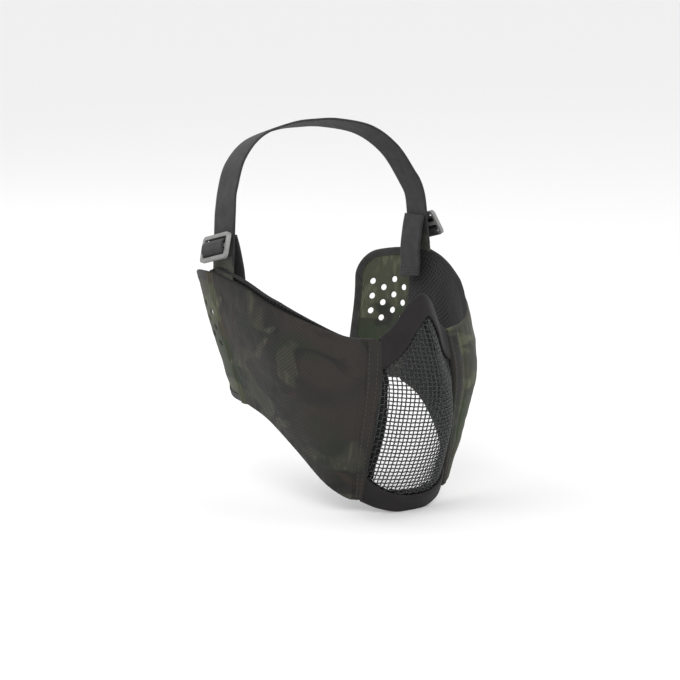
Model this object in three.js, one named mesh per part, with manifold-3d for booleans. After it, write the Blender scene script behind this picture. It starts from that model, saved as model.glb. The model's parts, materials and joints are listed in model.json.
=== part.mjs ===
// Half-face protective mask: a formed steel screen over nose, mouth and chin, two padded camouflage
// wings that cover the cheeks and ears, perforated flaps behind the ears, and an elastic strap over
// the crown with a slider on each side.
//
// Millimetres. The origin is the middle of the wearer's head, level with the ear tops. The face looks
// along -Y, +X is the wearer's left and +Z is up. Everything beside the face is built once, on the
// left, and mirrored for the right.
import * as THREE from "three";
import { mergeVertices } from "three/addons/utils/BufferGeometryUtils.js";
import Module from "manifold-3d";

const wasm = await Module();
wasm.setup();

// ---------- Driving dimensions ----------

const maskWidth = 168; // across the upper rear corners of the wings
const maskHeight = 145; // nose bridge to the underside of the chin
const maskDepth = 153; // nose ridge to the rear seam of a wing
const crownRise = 93.5; // upper rear corner of a wing to the top of the strap
const crownSetback = 19; // the strap's top lies this far behind its lower ends

const gap = 0.3; // between pieces that touch
const screenThickness = 1.4; // crimped wire screen, over both wires
const edgeWireRadius = 0.9; // steel wire round the screen's edge
const trimThickness = 1.2; // bonded neoprene, outside and inside of the screen
const noseBandCentre = 13; // height of the nose trim over the bridge
const noseBandSide = 20; // and at the wing seams
const chinBandCentre = 13; // height of the chin trim in the middle
const chinBandSide = 17; // and at the wing seams
const screenInset = 3; // the screen ends this far inside the trim's edge
const nosePadThickness = 4;
const nosePadReach = { from: 0.35, to: 0.75 }; // shares of the way from the middle plane to a seam
const chinPadThickness = 4;
const chinPadReach = 0.55;
const padMargin = 2; // trim left showing round a pad
const seamTapeWidth = 8; // tape inside the mask, over the screen's side edges
const tapeEndGap = 1; // between its ends and the trim backings

const hingeGap = 3; // a wing's layers stop this far behind the seam they fold on
const shellThickness = 1; // camouflage fabric
const foamThickness = 4;
const liningThickness = 1.2; // spacer mesh
const hemWidth = 9; // folded front hem of a wing
const hemThickness = 1;

const flapLength = 48.5; // rear seam to the flap's rear edge, along the flap
const flapThickness = 1.2;
const flapCorner = 16; // radius of the flap's rear corners
const flapDrop = 8; // the flap's top edge falls this far towards the rear
const flapHingeGap = 2; // the flap starts this far behind the seam it folds on
const ventRadius = 2.1;
const ventRows = 3;
const ventColumns = 4;
const ventRowPitch = 11;
const ventColumnPitch = 9;
const ventFirstColumn = 9; // from the rear seam
const ventCentre = 0.6; // middle of the rows, as a share of the flap's height
const ventStagger = 0.25; // every other column drops and rises by this share of a row's pitch
const bindingOverlap = 3; // edge tape on the flap, each side
const bindingThickness = 0.7;

const strapWidth = 25;
const strapThickness = 1.5;
const pocketClearance = 1.4; // room for a strap end between shell and foam, besides its thickness
const strapTuck = 12; // length of strap sewn in between shell and foam
const strapLeanIn = 5; // degrees that a strap end leans over the head
const strapLeanBack = 2; // and towards the back
const strapFromSeam = 1.5; // strap edge to the rear seam, along the wing's top edge
const strapBend = 4; // it bends from the wing's face to its own lean from this far under the edge
const strapStraight = 44; // wing top edge to where the strap starts to follow the head
const strapTwist = 46; // rise over which the strap turns from the wing's face to the head's
const sliderRise = 20; // wing top edge to the slider's middle
const sliderSlotEase = 2; // slot width beyond the strap's width
const sliderSide = 2.5; // the frame's side bars
const sliderHeight = 18;
const sliderThickness = 2.4;
const sliderBar = 2.6; // the frame's upper, middle and lower bars
const sliderTilt = 12; // degrees that the slider sits turned on its strap, top backwards
const sliderLean = 16; // degrees that its foot stands off the strap more than its top
const sliderCorner = 3; // radius of the frame's outer corners
const slotCorner = 0.8;
const tailLength = 44; // inner leg of the strap, from its top end to the end inside the wing
const tailAboveSlider = 9; // its top end, over the slider's middle
const tailSag = 3; // it hangs this far off the strap behind the slider

// Mesh counts: columns and rows of each sheet, and steps of each swept piece.
const grid = { screen: [18, 14], trim: [22, 2], chinPad: [12, 2], nosePad: [5, 4], tape: [2, 10] };
const wingGrid = { layer: [12, 7], hem: [2, 10], flap: [10, 5] };
const steps = { wire: 64, flapEdge: 14, strap: 52, tail: 14, turn: 24 };

// ---------- Shape of the face ----------
// Points on the outer surface, drawn for a mask of this size and scaled to the driving dimensions.

const drawn = { width: 168, height: 145, depth: 153 };
const at = (x, y, z) =>
  new THREE.Vector3(
    (x * maskWidth) / drawn.width,
    (y * maskDepth) / drawn.depth,
    (z * maskHeight) / drawn.height,
  );

// Left half of the front, from the underside of the chin (first row) to the nose bridge (last row),
// each row from the middle plane out to the wing seam.
const frontHalf = [
  [at(0, -86, -127), at(12, -85.5, -126), at(24, -81, -122.5), at(33, -74, -117.5)],
  [at(0, -106, -97), at(12, -103.5, -96), at(23, -95, -94.5), at(33, -80, -93)],
  [at(0, -119, -68), at(11, -115.5, -68), at(22, -105, -68), at(32, -88, -69)],
  [at(0, -126, -41), at(10, -119, -42), at(21, -106, -43.5), at(31, -93, -45)],
  [at(0, -117.5, -14), at(9, -110.5, -17), at(19, -100, -24), at(29, -93, -28)],
  [at(0, -102.5, 17.5), at(9, -99, 11.5), at(18, -94, -3), at(27, -91, -11)],
];

// Left wing behind the seam, from the jaw edge (first row) to the top edge (last row), each row from
// the cheek back to the rear seam.
const wingBehindSeam = [
  [at(42, -70, -115), at(51, -58, -106), at(59, -36, -86.5), at(64, -10, -70), at(66, 16, -62.5)],
  [at(48, -77, -78), at(59, -65, -70), at(68, -40, -56), at(72, -12, -41), at(73, 19.5, -33)],
  [at(51, -85, -43), at(66, -68, -38), at(76, -42, -26), at(79, -13, -11), at(80, 23.5, -4)],
  [at(48, -84, -8), at(64, -64, 0), at(76, -38, 9), at(81.5, -10, 19), at(84, 27.5, 25.5)],
];

// Outward directions in plan of the flap, as angles turned in from straight back.
const flapTurn = { start: 2, end: 46 };

const curve = (points) => new THREE.CatmullRomCurve3(points, false, "catmullrom");

// A smooth surface through a net of points: u runs along the rows, v across them, each from 0 to 1.
const within = (share) => Math.min(1, Math.max(0, share));
function surfaceThrough(net) {
  const rows = net.map(curve);
  return (u, v) => curve(rows.map((row) => row.getPoint(within(u)))).getPoint(within(v));
}

const mirrored = (p) => new THREE.Vector3(-p.x, p.y, p.z);
const frontNet = frontHalf.map((row) => [...row.slice(1).reverse().map(mirrored), ...row]);
const frontSurface = surfaceThrough(frontNet);
// across: -1 at the right seam, 0 in the middle plane, 1 at the left seam
const front = (across, up) => frontSurface((across + 1) / 2, up);

const seamPoints = [0, 1 / 3, 2 / 3, 1].map((up) => front(1, up));
const wing = surfaceThrough(wingBehindSeam.map((row, i) => [seamPoints[i], ...row]));

// The flap carries on from the rear seam and curls in behind the ear.
function flap(back, up) {
  const seam = wing(1, up);
  const turned = (share) =>
    THREE.MathUtils.degToRad(THREE.MathUtils.lerp(flapTurn.start, flapTurn.end, share));
  const pieces = 8;
  for (let i = 0; i < pieces; i++) {
    const angle = turned(back * ((i + 0.5) / pieces));
    seam.x -= (Math.sin(angle) * flapLength * back) / pieces;
    seam.y += (Math.cos(angle) * flapLength * back) / pieces;
  }
  seam.z -= flapDrop * back * back * up;
  return seam;
}

// ---------- Tools for sheets ----------

const small = 1e-3;

// Outward normal of a surface. On each surface here u cross v points away from the head.
function normalOf(surface, u, v) {
  const du = surface(u + small, v).sub(surface(u - small, v));
  const dv = surface(u, v + small).sub(surface(u, v - small));
  return du.cross(dv).normalize();
}

// How far along a line of shares 0 to 1 a length in millimetres reaches.
function shareAfter(pointAt, length) {
  const pieces = 150;
  let walked = 0;
  let here = pointAt(0);
  for (let i = 0; i < pieces; i++) {
    const next = pointAt((i + 1) / pieces);
    const stride = next.distanceTo(here);
    if (walked + stride >= length) return (i + (length - walked) / stride) / pieces;
    walked += stride;
    here = next;
  }
  return 1;
}

// A closed sheet on a surface. place(s, t) gives the surface's own u and v for s and t from 0 to 1;
// the sheet lies between the two offsets along the outward normal.
function sheet(surface, place, [columns, rows], outer, inner) {
  const positions = [];
  const index = [];
  const id = (side, i, j) => side * (columns + 1) * (rows + 1) + i * (rows + 1) + j;
  for (const offset of [outer, inner])
    for (let i = 0; i <= columns; i++)
      for (let j = 0; j <= rows; j++) {
        const [u, v] = place(i / columns, j / rows);
        const p = surface(u, v).addScaledVector(normalOf(surface, u, v), offset);
        positions.push(p.x, p.y, p.z);
      }
  const quad = (a, b, c, d) => index.push(a, b, c, a, c, d);
  for (let i = 0; i < columns; i++)
    for (let j = 0; j < rows; j++) {
      quad(id(0, i, j), id(0, i + 1, j), id(0, i + 1, j + 1), id(0, i, j + 1));
      quad(id(1, i, j), id(1, i, j + 1), id(1, i + 1, j + 1), id(1, i + 1, j));
    }
  for (let i = 0; i < columns; i++) {
    quad(id(0, i, 0), id(1, i, 0), id(1, i + 1, 0), id(0, i + 1, 0));
    quad(id(0, i, rows), id(0, i + 1, rows), id(1, i + 1, rows), id(1, i, rows));
  }
  for (let j = 0; j < rows; j++) {
    quad(id(0, 0, j), id(0, 0, j + 1), id(1, 0, j + 1), id(1, 0, j));
    quad(id(0, columns, j), id(1, columns, j), id(1, columns, j + 1), id(0, columns, j + 1));
  }
  return new THREE.BufferGeometry()
    .setAttribute("position", new THREE.BufferAttribute(new Float32Array(positions), 3))
    .setIndex(index);
}

// A solid of constant section along a path. Each frame holds the path's point and the section's two
// directions; the section is a list of Vector2.
function swept(section, frames, closed) {
  const positions = [];
  const index = [];
  const n = section.length;
  for (const { point, x, y } of frames)
    for (const c of section) {
      const p = point.clone().addScaledVector(x, c.x).addScaledVector(y, c.y);
      positions.push(p.x, p.y, p.z);
    }
  const last = closed ? frames.length : frames.length - 1;
  for (let i = 0; i < last; i++)
    for (let j = 0; j < n; j++) {
      const a = i * n + j;
      const b = i * n + ((j + 1) % n);
      const c = ((i + 1) % frames.length) * n + ((j + 1) % n);
      const d = ((i + 1) % frames.length) * n + j;
      index.push(a, b, c, a, c, d);
    }
  if (!closed)
    for (const [a, b, c] of THREE.ShapeUtils.triangulateShape(section, [])) {
      const end = (frames.length - 1) * n;
      index.push(a, c, b, end + a, end + b, end + c);
    }
  return new THREE.BufferGeometry()
    .setAttribute("position", new THREE.BufferAttribute(new Float32Array(positions), 3))
    .setIndex(index);
}

// A solid always points its faces outwards, whichever way its path ran.
function facingOut(geometry) {
  const p = geometry.getAttribute("position");
  const index = geometry.getIndex().array;
  const [a, b, c] = [0, 1, 2].map(() => new THREE.Vector3());
  let volume = 0;
  for (let i = 0; i < index.length; i += 3) {
    a.fromBufferAttribute(p, index[i]);
    b.fromBufferAttribute(p, index[i + 1]);
    c.fromBufferAttribute(p, index[i + 2]);
    volume += a.dot(b.cross(c));
  }
  if (volume < 0)
    for (let i = 0; i < index.length; i += 3)
      [index[i + 1], index[i + 2]] = [index[i + 2], index[i + 1]];
  return geometry;
}

// Corners at one place become one vertex.
function mergedByPlace(geometry) {
  const bare = geometry.clone();
  bare.deleteAttribute("normal");
  bare.deleteAttribute("uv");
  return mergeVertices(bare, 1e-4);
}

function solidOf(geometry) {
  const merged = mergedByPlace(geometry);
  return new wasm.Manifold(
    new wasm.Mesh({
      numProp: 3,
      vertProperties: merged.attributes.position.array,
      triVerts: new Uint32Array(merged.index.array),
    }),
  );
}

function geometryOf(solid) {
  const mesh = solid.getMesh();
  return new THREE.BufferGeometry()
    .setAttribute("position", new THREE.BufferAttribute(mesh.vertProperties, 3))
    .setIndex(new THREE.BufferAttribute(mesh.triVerts, 1));
}

// ---------- Materials ----------

const material = (color, roughness, metalness = 0) =>
  new THREE.MeshStandardMaterial({ color, roughness, metalness });
const paintedSteel = material("#1b1b1b", 0.45, 0.6);
const neoprene = material("#2c2a2b", 0.85);
const camouflage = material("#3c3a35", 0.9);
const hemFabric = material("#3a3932", 0.9);
const spacerMesh = material("#1c1c1d", 0.95);
const foam = material("#2e2e30", 0.95);
const webbing = material("#333334", 0.85);
const sliderPlastic = material("#7d7d7c", 0.5);

const mask = new THREE.Group();
const leftSide = new THREE.Group();

function add(group, name, geometry, surfaceMaterial) {
  const mesh = new THREE.Mesh(facingOut(geometry), surfaceMaterial);
  mesh.name = name;
  group.add(mesh);
  return mesh;
}

// ---------- Front: screen, edge wire, trims, pads ----------
// The trim's outer face lies on the front surface; the screen is one layer below it.

const wireProud = Math.max(0, edgeWireRadius - screenThickness / 2);
const screenOuter = -trimThickness - gap - wireProud;
const screenInner = screenOuter - screenThickness;
const innerTrimOuter = screenInner - wireProud - gap;
const innerTrimInner = innerTrimOuter - trimThickness;
const padOuter = innerTrimInner - gap;

// Shares of the front surface at a distance in from its lower edge, its upper edge and its seams.
const aboveChin = (across, mm) => shareAfter((t) => front(across, t), mm);
const belowNose = (across, mm) => 1 - shareAfter((t) => front(across, 1 - t), mm);
const besideSeam = (up, mm) => 1 - 2 * shareAfter((t) => front(1 - 2 * t, up), mm);

const noseBand = (across) =>
  THREE.MathUtils.lerp(noseBandCentre, noseBandSide, Math.min(1, Math.abs(across) * 2.2));
const openingTop = (across) => belowNose(across, noseBand(across));
const chinBand = (across) =>
  THREE.MathUtils.lerp(chinBandCentre, chinBandSide, Math.max(0, 2 * Math.abs(across) - 1) ** 2);
const openingBottom = (across) => aboveChin(across, chinBand(across));

// The front surface less a margin all round, for shares 0 to 1 across and up.
const insetPlace = (margin) => (s, t) => {
  const side = besideSeam(t, margin);
  const across = THREE.MathUtils.lerp(-side, side, s);
  return [across, THREE.MathUtils.lerp(aboveChin(across, margin), belowNose(across, margin), t)];
};
const screen = sheet(front, insetPlace(screenInset), grid.screen, screenOuter, screenInner);
add(mask, "mesh_screen", screen, paintedSteel);

// The edge wire runs round the screen's rim, half an inset out from it.
const wirePlace = insetPlace(screenInset - edgeWireRadius - 2 * gap);
const wirePoints = Array.from({ length: steps.wire }, (_, i) => {
  const side = Math.floor((4 * i) / steps.wire);
  const along = (4 * i) / steps.wire - side;
  const corner = [[along, 0], [1, along], [1 - along, 1], [0, 1 - along]][side];
  const [across, up] = wirePlace(...corner);
  const middle = (screenOuter + screenInner) / 2;
  return front(across, up).addScaledVector(normalOf(front, across, up), middle);
});
const wirePath = new THREE.CatmullRomCurve3(wirePoints, true, "centripetal");
const wireFrames = wirePoints.map((point, i) => {
  const along = wirePath.getTangent(i / steps.wire);
  const x = new THREE.Vector3().crossVectors(along, point.clone().normalize()).normalize();
  return { point, x, y: new THREE.Vector3().crossVectors(along, x) };
});
const round = (radius, sides) =>
  Array.from({ length: sides }, (_, i) => {
    const a = (2 * Math.PI * i) / sides;
    return new THREE.Vector2(radius * Math.cos(a), radius * Math.sin(a));
  });
add(mask, "screen_edge_wire", swept(round(edgeWireRadius, 6), wireFrames, true), paintedSteel);

const band = (from, to, side) => (s, t) => {
  const across = THREE.MathUtils.lerp(-side, side, s);
  return [across, THREE.MathUtils.lerp(from(across), to(across), t)];
};
const nosePlace = band(openingTop, () => 1, besideSeam(1, gap));
const chinPlace = band(() => 0, openingBottom, besideSeam(0, gap));
for (const [name, place] of [["nose", nosePlace], ["chin", chinPlace]]) {
  add(mask, `${name}_trim`, sheet(front, place, grid.trim, 0, -trimThickness), neoprene);
  const backing = sheet(front, place, grid.trim, innerTrimOuter, innerTrimInner);
  add(mask, `${name}_trim_backing`, backing, neoprene);
}

const chinPadPlace = band(
  (across) => aboveChin(across, padMargin),
  (across) => aboveChin(across, chinBand(across) - padMargin),
  chinPadReach,
);
const chinPad = sheet(front, chinPadPlace, grid.chinPad, padOuter, padOuter - chinPadThickness);
add(mask, "chin_pad", chinPad, foam);

const nosePadPlace = (s, t) => {
  const across = THREE.MathUtils.lerp(nosePadReach.from, nosePadReach.to, s);
  const from = belowNose(across, noseBand(across) - padMargin);
  return [across, THREE.MathUtils.lerp(from, belowNose(across, padMargin), t)];
};
const nosePad = sheet(front, nosePadPlace, grid.nosePad, padOuter, padOuter - nosePadThickness);
add(leftSide, "nose_pad", nosePad, foam);

const tapePlace = (s, t) => {
  const across = THREE.MathUtils.lerp(besideSeam(t, seamTapeWidth), besideSeam(t, gap), s);
  const from = aboveChin(across, chinBand(across) + tapeEndGap);
  return [across, THREE.MathUtils.lerp(from, belowNose(across, noseBand(across) + tapeEndGap), t)];
};
const seamTape = sheet(front, tapePlace, grid.tape, innerTrimOuter, innerTrimInner);
add(leftSide, "seam_tape", seamTape, neoprene);

// ---------- Wing: shell, hem, foam, lining ----------

// Shares of the wing at a distance from its front seam, rear seam, jaw edge and top edge.
const behindSeam = (up, mm) => shareAfter((t) => wing(t, up), mm);
const beforeRear = (up, mm) => 1 - shareAfter((t) => wing(1 - t, up), mm);
const aboveJaw = (back, mm) => shareAfter((t) => wing(back, t), mm);
const belowTop = (back, mm) => 1 - shareAfter((t) => wing(back, 1 - t), mm);
const pocket = strapThickness + pocketClearance; // the strap's end is sewn in between shell and foam
const foamOuter = -shellThickness - pocket;
const foamInner = foamOuter - foamThickness;
const liningOuter = foamInner - gap;
const liningInner = liningOuter - liningThickness;

const wingPlace = (fromSeam, toRear, edge) => (s, t) => {
  const back = THREE.MathUtils.lerp(behindSeam(t, fromSeam), beforeRear(t, toRear), s);
  return [back, THREE.MathUtils.lerp(aboveJaw(back, edge), belowTop(back, edge), t)];
};
const wingSheet = (place, outer, inner) => sheet(wing, place, wingGrid.layer, outer, inner);
add(leftSide, "shell", wingSheet(wingPlace(hingeGap, gap, 0), 0, -shellThickness), camouflage);
add(leftSide, "foam", wingSheet(wingPlace(hingeGap + 2, 2, 1), foamOuter, foamInner), foam);
add(leftSide, "lining", wingSheet(wingPlace(hingeGap + 1, 1, 0), liningOuter, liningInner), spacerMesh);

const hemStart = hingeGap - 1;
const hemPlace = (s, t) => {
  const share = THREE.MathUtils.lerp(behindSeam(t, hemStart), behindSeam(t, hemStart + hemWidth), s);
  return [share, t];
};
add(leftSide, "front_hem", sheet(wing, hemPlace, wingGrid.hem, gap + hemThickness, gap), hemFabric);

// ---------- Ear flap: perforated panel and edge tape ----------

const flapHeight = flap(0.5, 0).distanceTo(flap(0.5, 1));
const flapShare = (mm) => mm / flapLength;
const flapEdgeInset = (back) => {
  const intoCorner = Math.max(0, back * flapLength - (flapLength - flapCorner));
  return flapCorner - Math.sqrt(Math.max(0, flapCorner ** 2 - intoCorner ** 2));
};
const flapPlace = (s, t) => {
  const back = THREE.MathUtils.lerp(flapShare(flapHingeGap), 1, Math.sin((s * Math.PI) / 2));
  const inset = flapEdgeInset(back) / flapHeight;
  return [back, THREE.MathUtils.lerp(inset, 1 - inset, t)];
};
const flapPanel = sheet(flap, flapPlace, wingGrid.flap, 0, -flapThickness);
let perforated = solidOf(flapPanel);
const ventDrill = new THREE.CylinderGeometry(ventRadius, ventRadius, 6 * flapThickness, 8);
for (let column = 0; column < ventColumns; column++)
  for (let row = 0; row < ventRows; row++) {
    const back = flapShare(ventFirstColumn + column * ventColumnPitch);
    const stagger = column % 2 ? ventStagger : -ventStagger;
    const rise = (row - (ventRows - 1) / 2 + stagger) * ventRowPitch;
    const up = ventCentre + rise / flapHeight;
    const out = normalOf(flap, back, up);
    const turn = new THREE.Quaternion().setFromUnitVectors(new THREE.Vector3(0, 1, 0), out);
    const drill = ventDrill.clone().applyQuaternion(turn);
    const place = flap(back, up);
    drill.translate(place.x, place.y, place.z);
    perforated = perforated.subtract(solidOf(drill));
  }
add(leftSide, "ear_flap", geometryOf(perforated), camouflage);

// Edge tape folded over the flap's free edge: along the bottom, up the rear and back along the top.
const bindingStart = flapShare(flapHingeGap + 2);
const bindingPath = [];
for (let i = 0; i <= steps.flapEdge; i++) {
  const quarter = (i / steps.flapEdge) * (Math.PI / 2);
  const back = THREE.MathUtils.lerp(bindingStart, 1, Math.sin(quarter));
  bindingPath.push([back, flapEdgeInset(back) / flapHeight]);
}
const rearInset = flapCorner / flapHeight;
for (const t of [0.25, 0.5, 0.75])
  bindingPath.push([1, THREE.MathUtils.lerp(rearInset, 1 - rearInset, t)]);
for (let i = steps.flapEdge; i >= 0; i--) {
  const [back, up] = bindingPath[i];
  bindingPath.push([back, 1 - up]);
}
const bindingPoints = bindingPath.map(([back, up]) =>
  flap(back, up).addScaledVector(normalOf(flap, back, up), -flapThickness / 2),
);
const bindingCurve = curve(bindingPoints);
const bindingFrames = bindingPath.map(([back, up], i) => {
  const along = bindingCurve.getTangent(i / (bindingPath.length - 1));
  const y = normalOf(flap, back, up);
  const x = new THREE.Vector3().crossVectors(along, y).normalize();
  return { point: bindingPoints[i], x, y };
});
const tapeInside = flapThickness / 2 + gap;
const tapeOutside = tapeInside + bindingThickness;
const tapeSection = [
  [-bindingOverlap, -tapeOutside],
  [gap + bindingThickness, -tapeOutside],
  [gap + bindingThickness, tapeOutside],
  [-bindingOverlap, tapeOutside],
  [-bindingOverlap, tapeInside],
  [gap, tapeInside],
  [gap, -tapeInside],
  [-bindingOverlap, -tapeInside],
].map(([x, y]) => new THREE.Vector2(x, y));
add(leftSide, "flap_binding", swept(tapeSection, bindingFrames, false), webbing);

// ---------- Strap over the crown ----------
// Each end runs from its pocket in the wing straight up behind the slider, then over the head.

const rad = THREE.MathUtils.degToRad;
const anchorBack = beforeRear(1, strapFromSeam + strapWidth / 2);
const anchorOut = normalOf(wing, anchorBack, 1);
const anchorTop = wing(anchorBack, 1).addScaledVector(
  anchorOut,
  -shellThickness - pocket / 2,
);
const wingUp = wing(anchorBack, 1)
  .sub(wing(anchorBack, belowTop(anchorBack, strapTuck)))
  .normalize();
const strapUp = new THREE.Vector3(
  -Math.sin(rad(strapLeanIn)),
  Math.sin(rad(strapLeanBack)),
  Math.cos(rad(strapLeanIn)),
).normalize();
const squareTo = (direction, out) => out.clone().projectOnPlane(direction).normalize();
const strapOut = squareTo(strapUp, anchorOut);
const tucked = anchorTop.clone().addScaledVector(wingUp, -strapTuck);
const straightEnd = anchorTop.clone().addScaledVector(strapUp, strapStraight);
const crown = new THREE.Vector3(0, anchorTop.y + crownSetback, anchorTop.z + crownRise);
// Between the straight end and the crown the strap follows the head: shares of the way in, back and up.
const over = (inShare, backShare, upShare) =>
  new THREE.Vector3(
    straightEnd.x * (1 - inShare),
    THREE.MathUtils.lerp(straightEnd.y, crown.y, backShare),
    THREE.MathUtils.lerp(straightEnd.z, crown.z, upShare),
  );
const leftStrapPoints = [
  tucked,
  anchorTop.clone().addScaledVector(wingUp, -strapBend),
  anchorTop.clone().addScaledVector(strapUp, 1.5 * strapBend),
  anchorTop.clone().addScaledVector(strapUp, strapStraight / 2),
  straightEnd,
  over(0.06, 0.24, 0.26),
  over(0.19, 0.57, 0.6),
  over(0.42, 0.84, 0.86),
  over(0.75, 0.98, 0.98),
  crown,
];
const rightStrapPoints = leftStrapPoints.slice(0, -1).reverse().map(mirrored);
const strapCurve = curve([...leftStrapPoints, ...rightStrapPoints]);
// The strap's flat side faces away from the middle of the head, ahead of and under its ends.
const headAhead = 2;
const headBelow = 20;
const headBackRoundness = 1.5; // the head is rounder at the back than from side to side
const headCentre = new THREE.Vector3(0, anchorTop.y - headAhead, anchorTop.z - headBelow);
function strapFrame(path, t) {
  const point = path.getPoint(t);
  const along = path.getTangent(t);
  const away = point.clone().sub(headCentre);
  away.y *= headBackRoundness;
  const flat = THREE.MathUtils.smoothstep(straightEnd.z + strapTwist - point.z, 0, strapTwist);
  away.normalize().lerp(point.x > 0 ? strapOut : mirrored(strapOut), flat);
  const across = new THREE.Vector3().crossVectors(away, along).normalize();
  const out = new THREE.Vector3().crossVectors(along, across).normalize();
  return { point, x: across, y: out };
}
const ribbon = (width, thickness) =>
  [
    [-width / 2, -thickness / 2],
    [width / 2, -thickness / 2],
    [width / 2, thickness / 2],
    [-width / 2, thickness / 2],
  ].map(([x, y]) => new THREE.Vector2(x, y));
const strapFrames = Array.from({ length: steps.strap + 1 }, (_, i) =>
  strapFrame(strapCurve, i / steps.strap),
);
add(mask, "crown_strap", swept(ribbon(strapWidth, strapThickness), strapFrames, false), webbing);

// The strap's inner leg starts behind the slider and ends inside the wing, against the lining.
const inward = anchorOut.clone().multiplyScalar(-1);
const behindStrap = strapThickness + gap;
const liningClear = -liningInner - shellThickness; // from the strap's middle, inwards
const tailRise = sliderRise + tailAboveSlider;
const tailEnd = tailRise - tailLength;
// A point of the inner leg: over the wing's top edge along the strap, or under it along the wing.
const tailAt = (rise, depth) =>
  anchorTop
    .clone()
    .addScaledVector(rise > 0 ? strapUp : wingUp, rise)
    .addScaledVector(inward, depth);
const tailPoints = [
  tailAt(tailRise, behindStrap),
  tailAt(sliderRise, behindStrap + tailSag),
  tailAt(sliderRise / 4, liningClear + 2 * gap),
  tailAt(tailEnd * 0.4, liningClear + 3 * gap),
  tailAt(tailEnd, liningClear + 5 * gap),
];
const tailCurve = curve(tailPoints);
const tailFrames = Array.from({ length: steps.tail + 1 }, (_, i) => {
  const point = tailCurve.getPoint(i / steps.tail);
  const along = tailCurve.getTangent(i / steps.tail);
  const across = new THREE.Vector3().crossVectors(anchorOut, along).normalize();
  return { point, x: across, y: new THREE.Vector3().crossVectors(along, across) };
});
add(leftSide, "strap_tail", swept(ribbon(strapWidth, strapThickness), tailFrames, false), webbing);

// ---------- Slider: three-bar frame, and the turn of strap over its middle bar ----------

const sliderFlat = strapUp.clone().applyAxisAngle(strapOut, -rad(sliderTilt));
const sliderAcross = new THREE.Vector3().crossVectors(sliderFlat, strapOut);
const sliderUp = sliderFlat.clone().applyAxisAngle(sliderAcross, -rad(sliderLean));
const sliderOut = new THREE.Vector3().crossVectors(sliderAcross, sliderUp);
// The frame's back stands off the strap by the strap's turn, which passes under the outer bars,
// and by half its height for its lean.
const sliderBack =
  1.5 * strapThickness + 3 * gap + (sliderHeight / 2) * Math.sin(rad(sliderLean));
const sliderPlace = new THREE.Matrix4()
  .makeBasis(sliderAcross, sliderUp, sliderOut)
  .setPosition(
    anchorTop.clone().addScaledVector(strapUp, sliderRise).addScaledVector(strapOut, sliderBack),
  );

function roundedRectangle(path, width, height, radius, cy = 0) {
  const [x, y] = [width / 2, height / 2];
  path.moveTo(-x + radius, cy - y);
  path.lineTo(x - radius, cy - y);
  path.absarc(x - radius, cy - y + radius, radius, -Math.PI / 2, 0, false);
  path.lineTo(x, cy + y - radius);
  path.absarc(x - radius, cy + y - radius, radius, 0, Math.PI / 2, false);
  path.lineTo(-x + radius, cy + y);
  path.absarc(-x + radius, cy + y - radius, radius, Math.PI / 2, Math.PI, false);
  path.lineTo(-x, cy - y + radius);
  path.absarc(-x + radius, cy - y + radius, radius, Math.PI, 1.5 * Math.PI, false);
  return path;
}
const slotWidth = strapWidth + sliderSlotEase;
const sliderWidth = slotWidth + 2 * sliderSide;
const slotHeight = (sliderHeight - 3 * sliderBar) / 2;
const slotRise = (slotHeight + sliderBar) / 2;
const strapOutline = roundedRectangle(new THREE.Shape(), sliderWidth, sliderHeight, sliderCorner);
strapOutline.holes = [-slotRise, slotRise].map((rise) =>
  roundedRectangle(new THREE.Path(), slotWidth, slotHeight, slotCorner, rise),
);
const sliderFrame = new THREE.ExtrudeGeometry(strapOutline, {
  depth: sliderThickness,
  bevelEnabled: false,
  curveSegments: 4,
});
add(leftSide, "slider", mergedByPlace(sliderFrame).applyMatrix4(sliderPlace), sliderPlastic);

// The turn's half profile, seen along the bars: over the middle bar, down through a slot and out
// under an outer bar.
const turnUnder = -gap - strapThickness / 2;
const turnReach = sliderBar / 2 + strapThickness; // clears the middle bar's corners
const turnPeak = sliderThickness + strapThickness;
const slotEnd = slotRise + slotHeight / 2;
const halfTurn = [
  [turnReach * 0.6, turnPeak * 0.88],
  [turnReach, sliderThickness / 2],
  [slotEnd - strapThickness, turnUnder],
  [slotEnd, turnUnder],
  [slotEnd + sliderBar * 0.6, turnUnder],
];
const turnLine = curve(
  [...halfTurn.map(([y, z]) => [-y, z]).reverse(), [0, turnPeak], ...halfTurn].map(
    ([y, z]) => new THREE.Vector3(0, y, z),
  ),
);
const turnFrames = Array.from({ length: steps.turn + 1 }, (_, i) => {
  const along = turnLine.getTangent(i / steps.turn);
  return {
    point: turnLine.getPoint(i / steps.turn),
    x: new THREE.Vector3(1, 0, 0),
    y: new THREE.Vector3(0, -along.z, along.y),
  };
});
const turn = swept(ribbon(strapWidth - 1, strapThickness), turnFrames, false);
add(leftSide, "slider_turn", turn.applyMatrix4(sliderPlace), webbing);

// ---------- Both sides ----------

for (const [name, flip] of [["left", 1], ["right", -1]]) {
  const side = leftSide.clone();
  side.scale.x = flip;
  for (const mesh of side.children) mesh.name = `${name}_${mesh.name}`;
  mask.add(side);
}

export default mask;
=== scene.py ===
import json
import math

import bmesh
import bpy
import numpy as np
from mathutils import Matrix, Vector, noise


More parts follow.
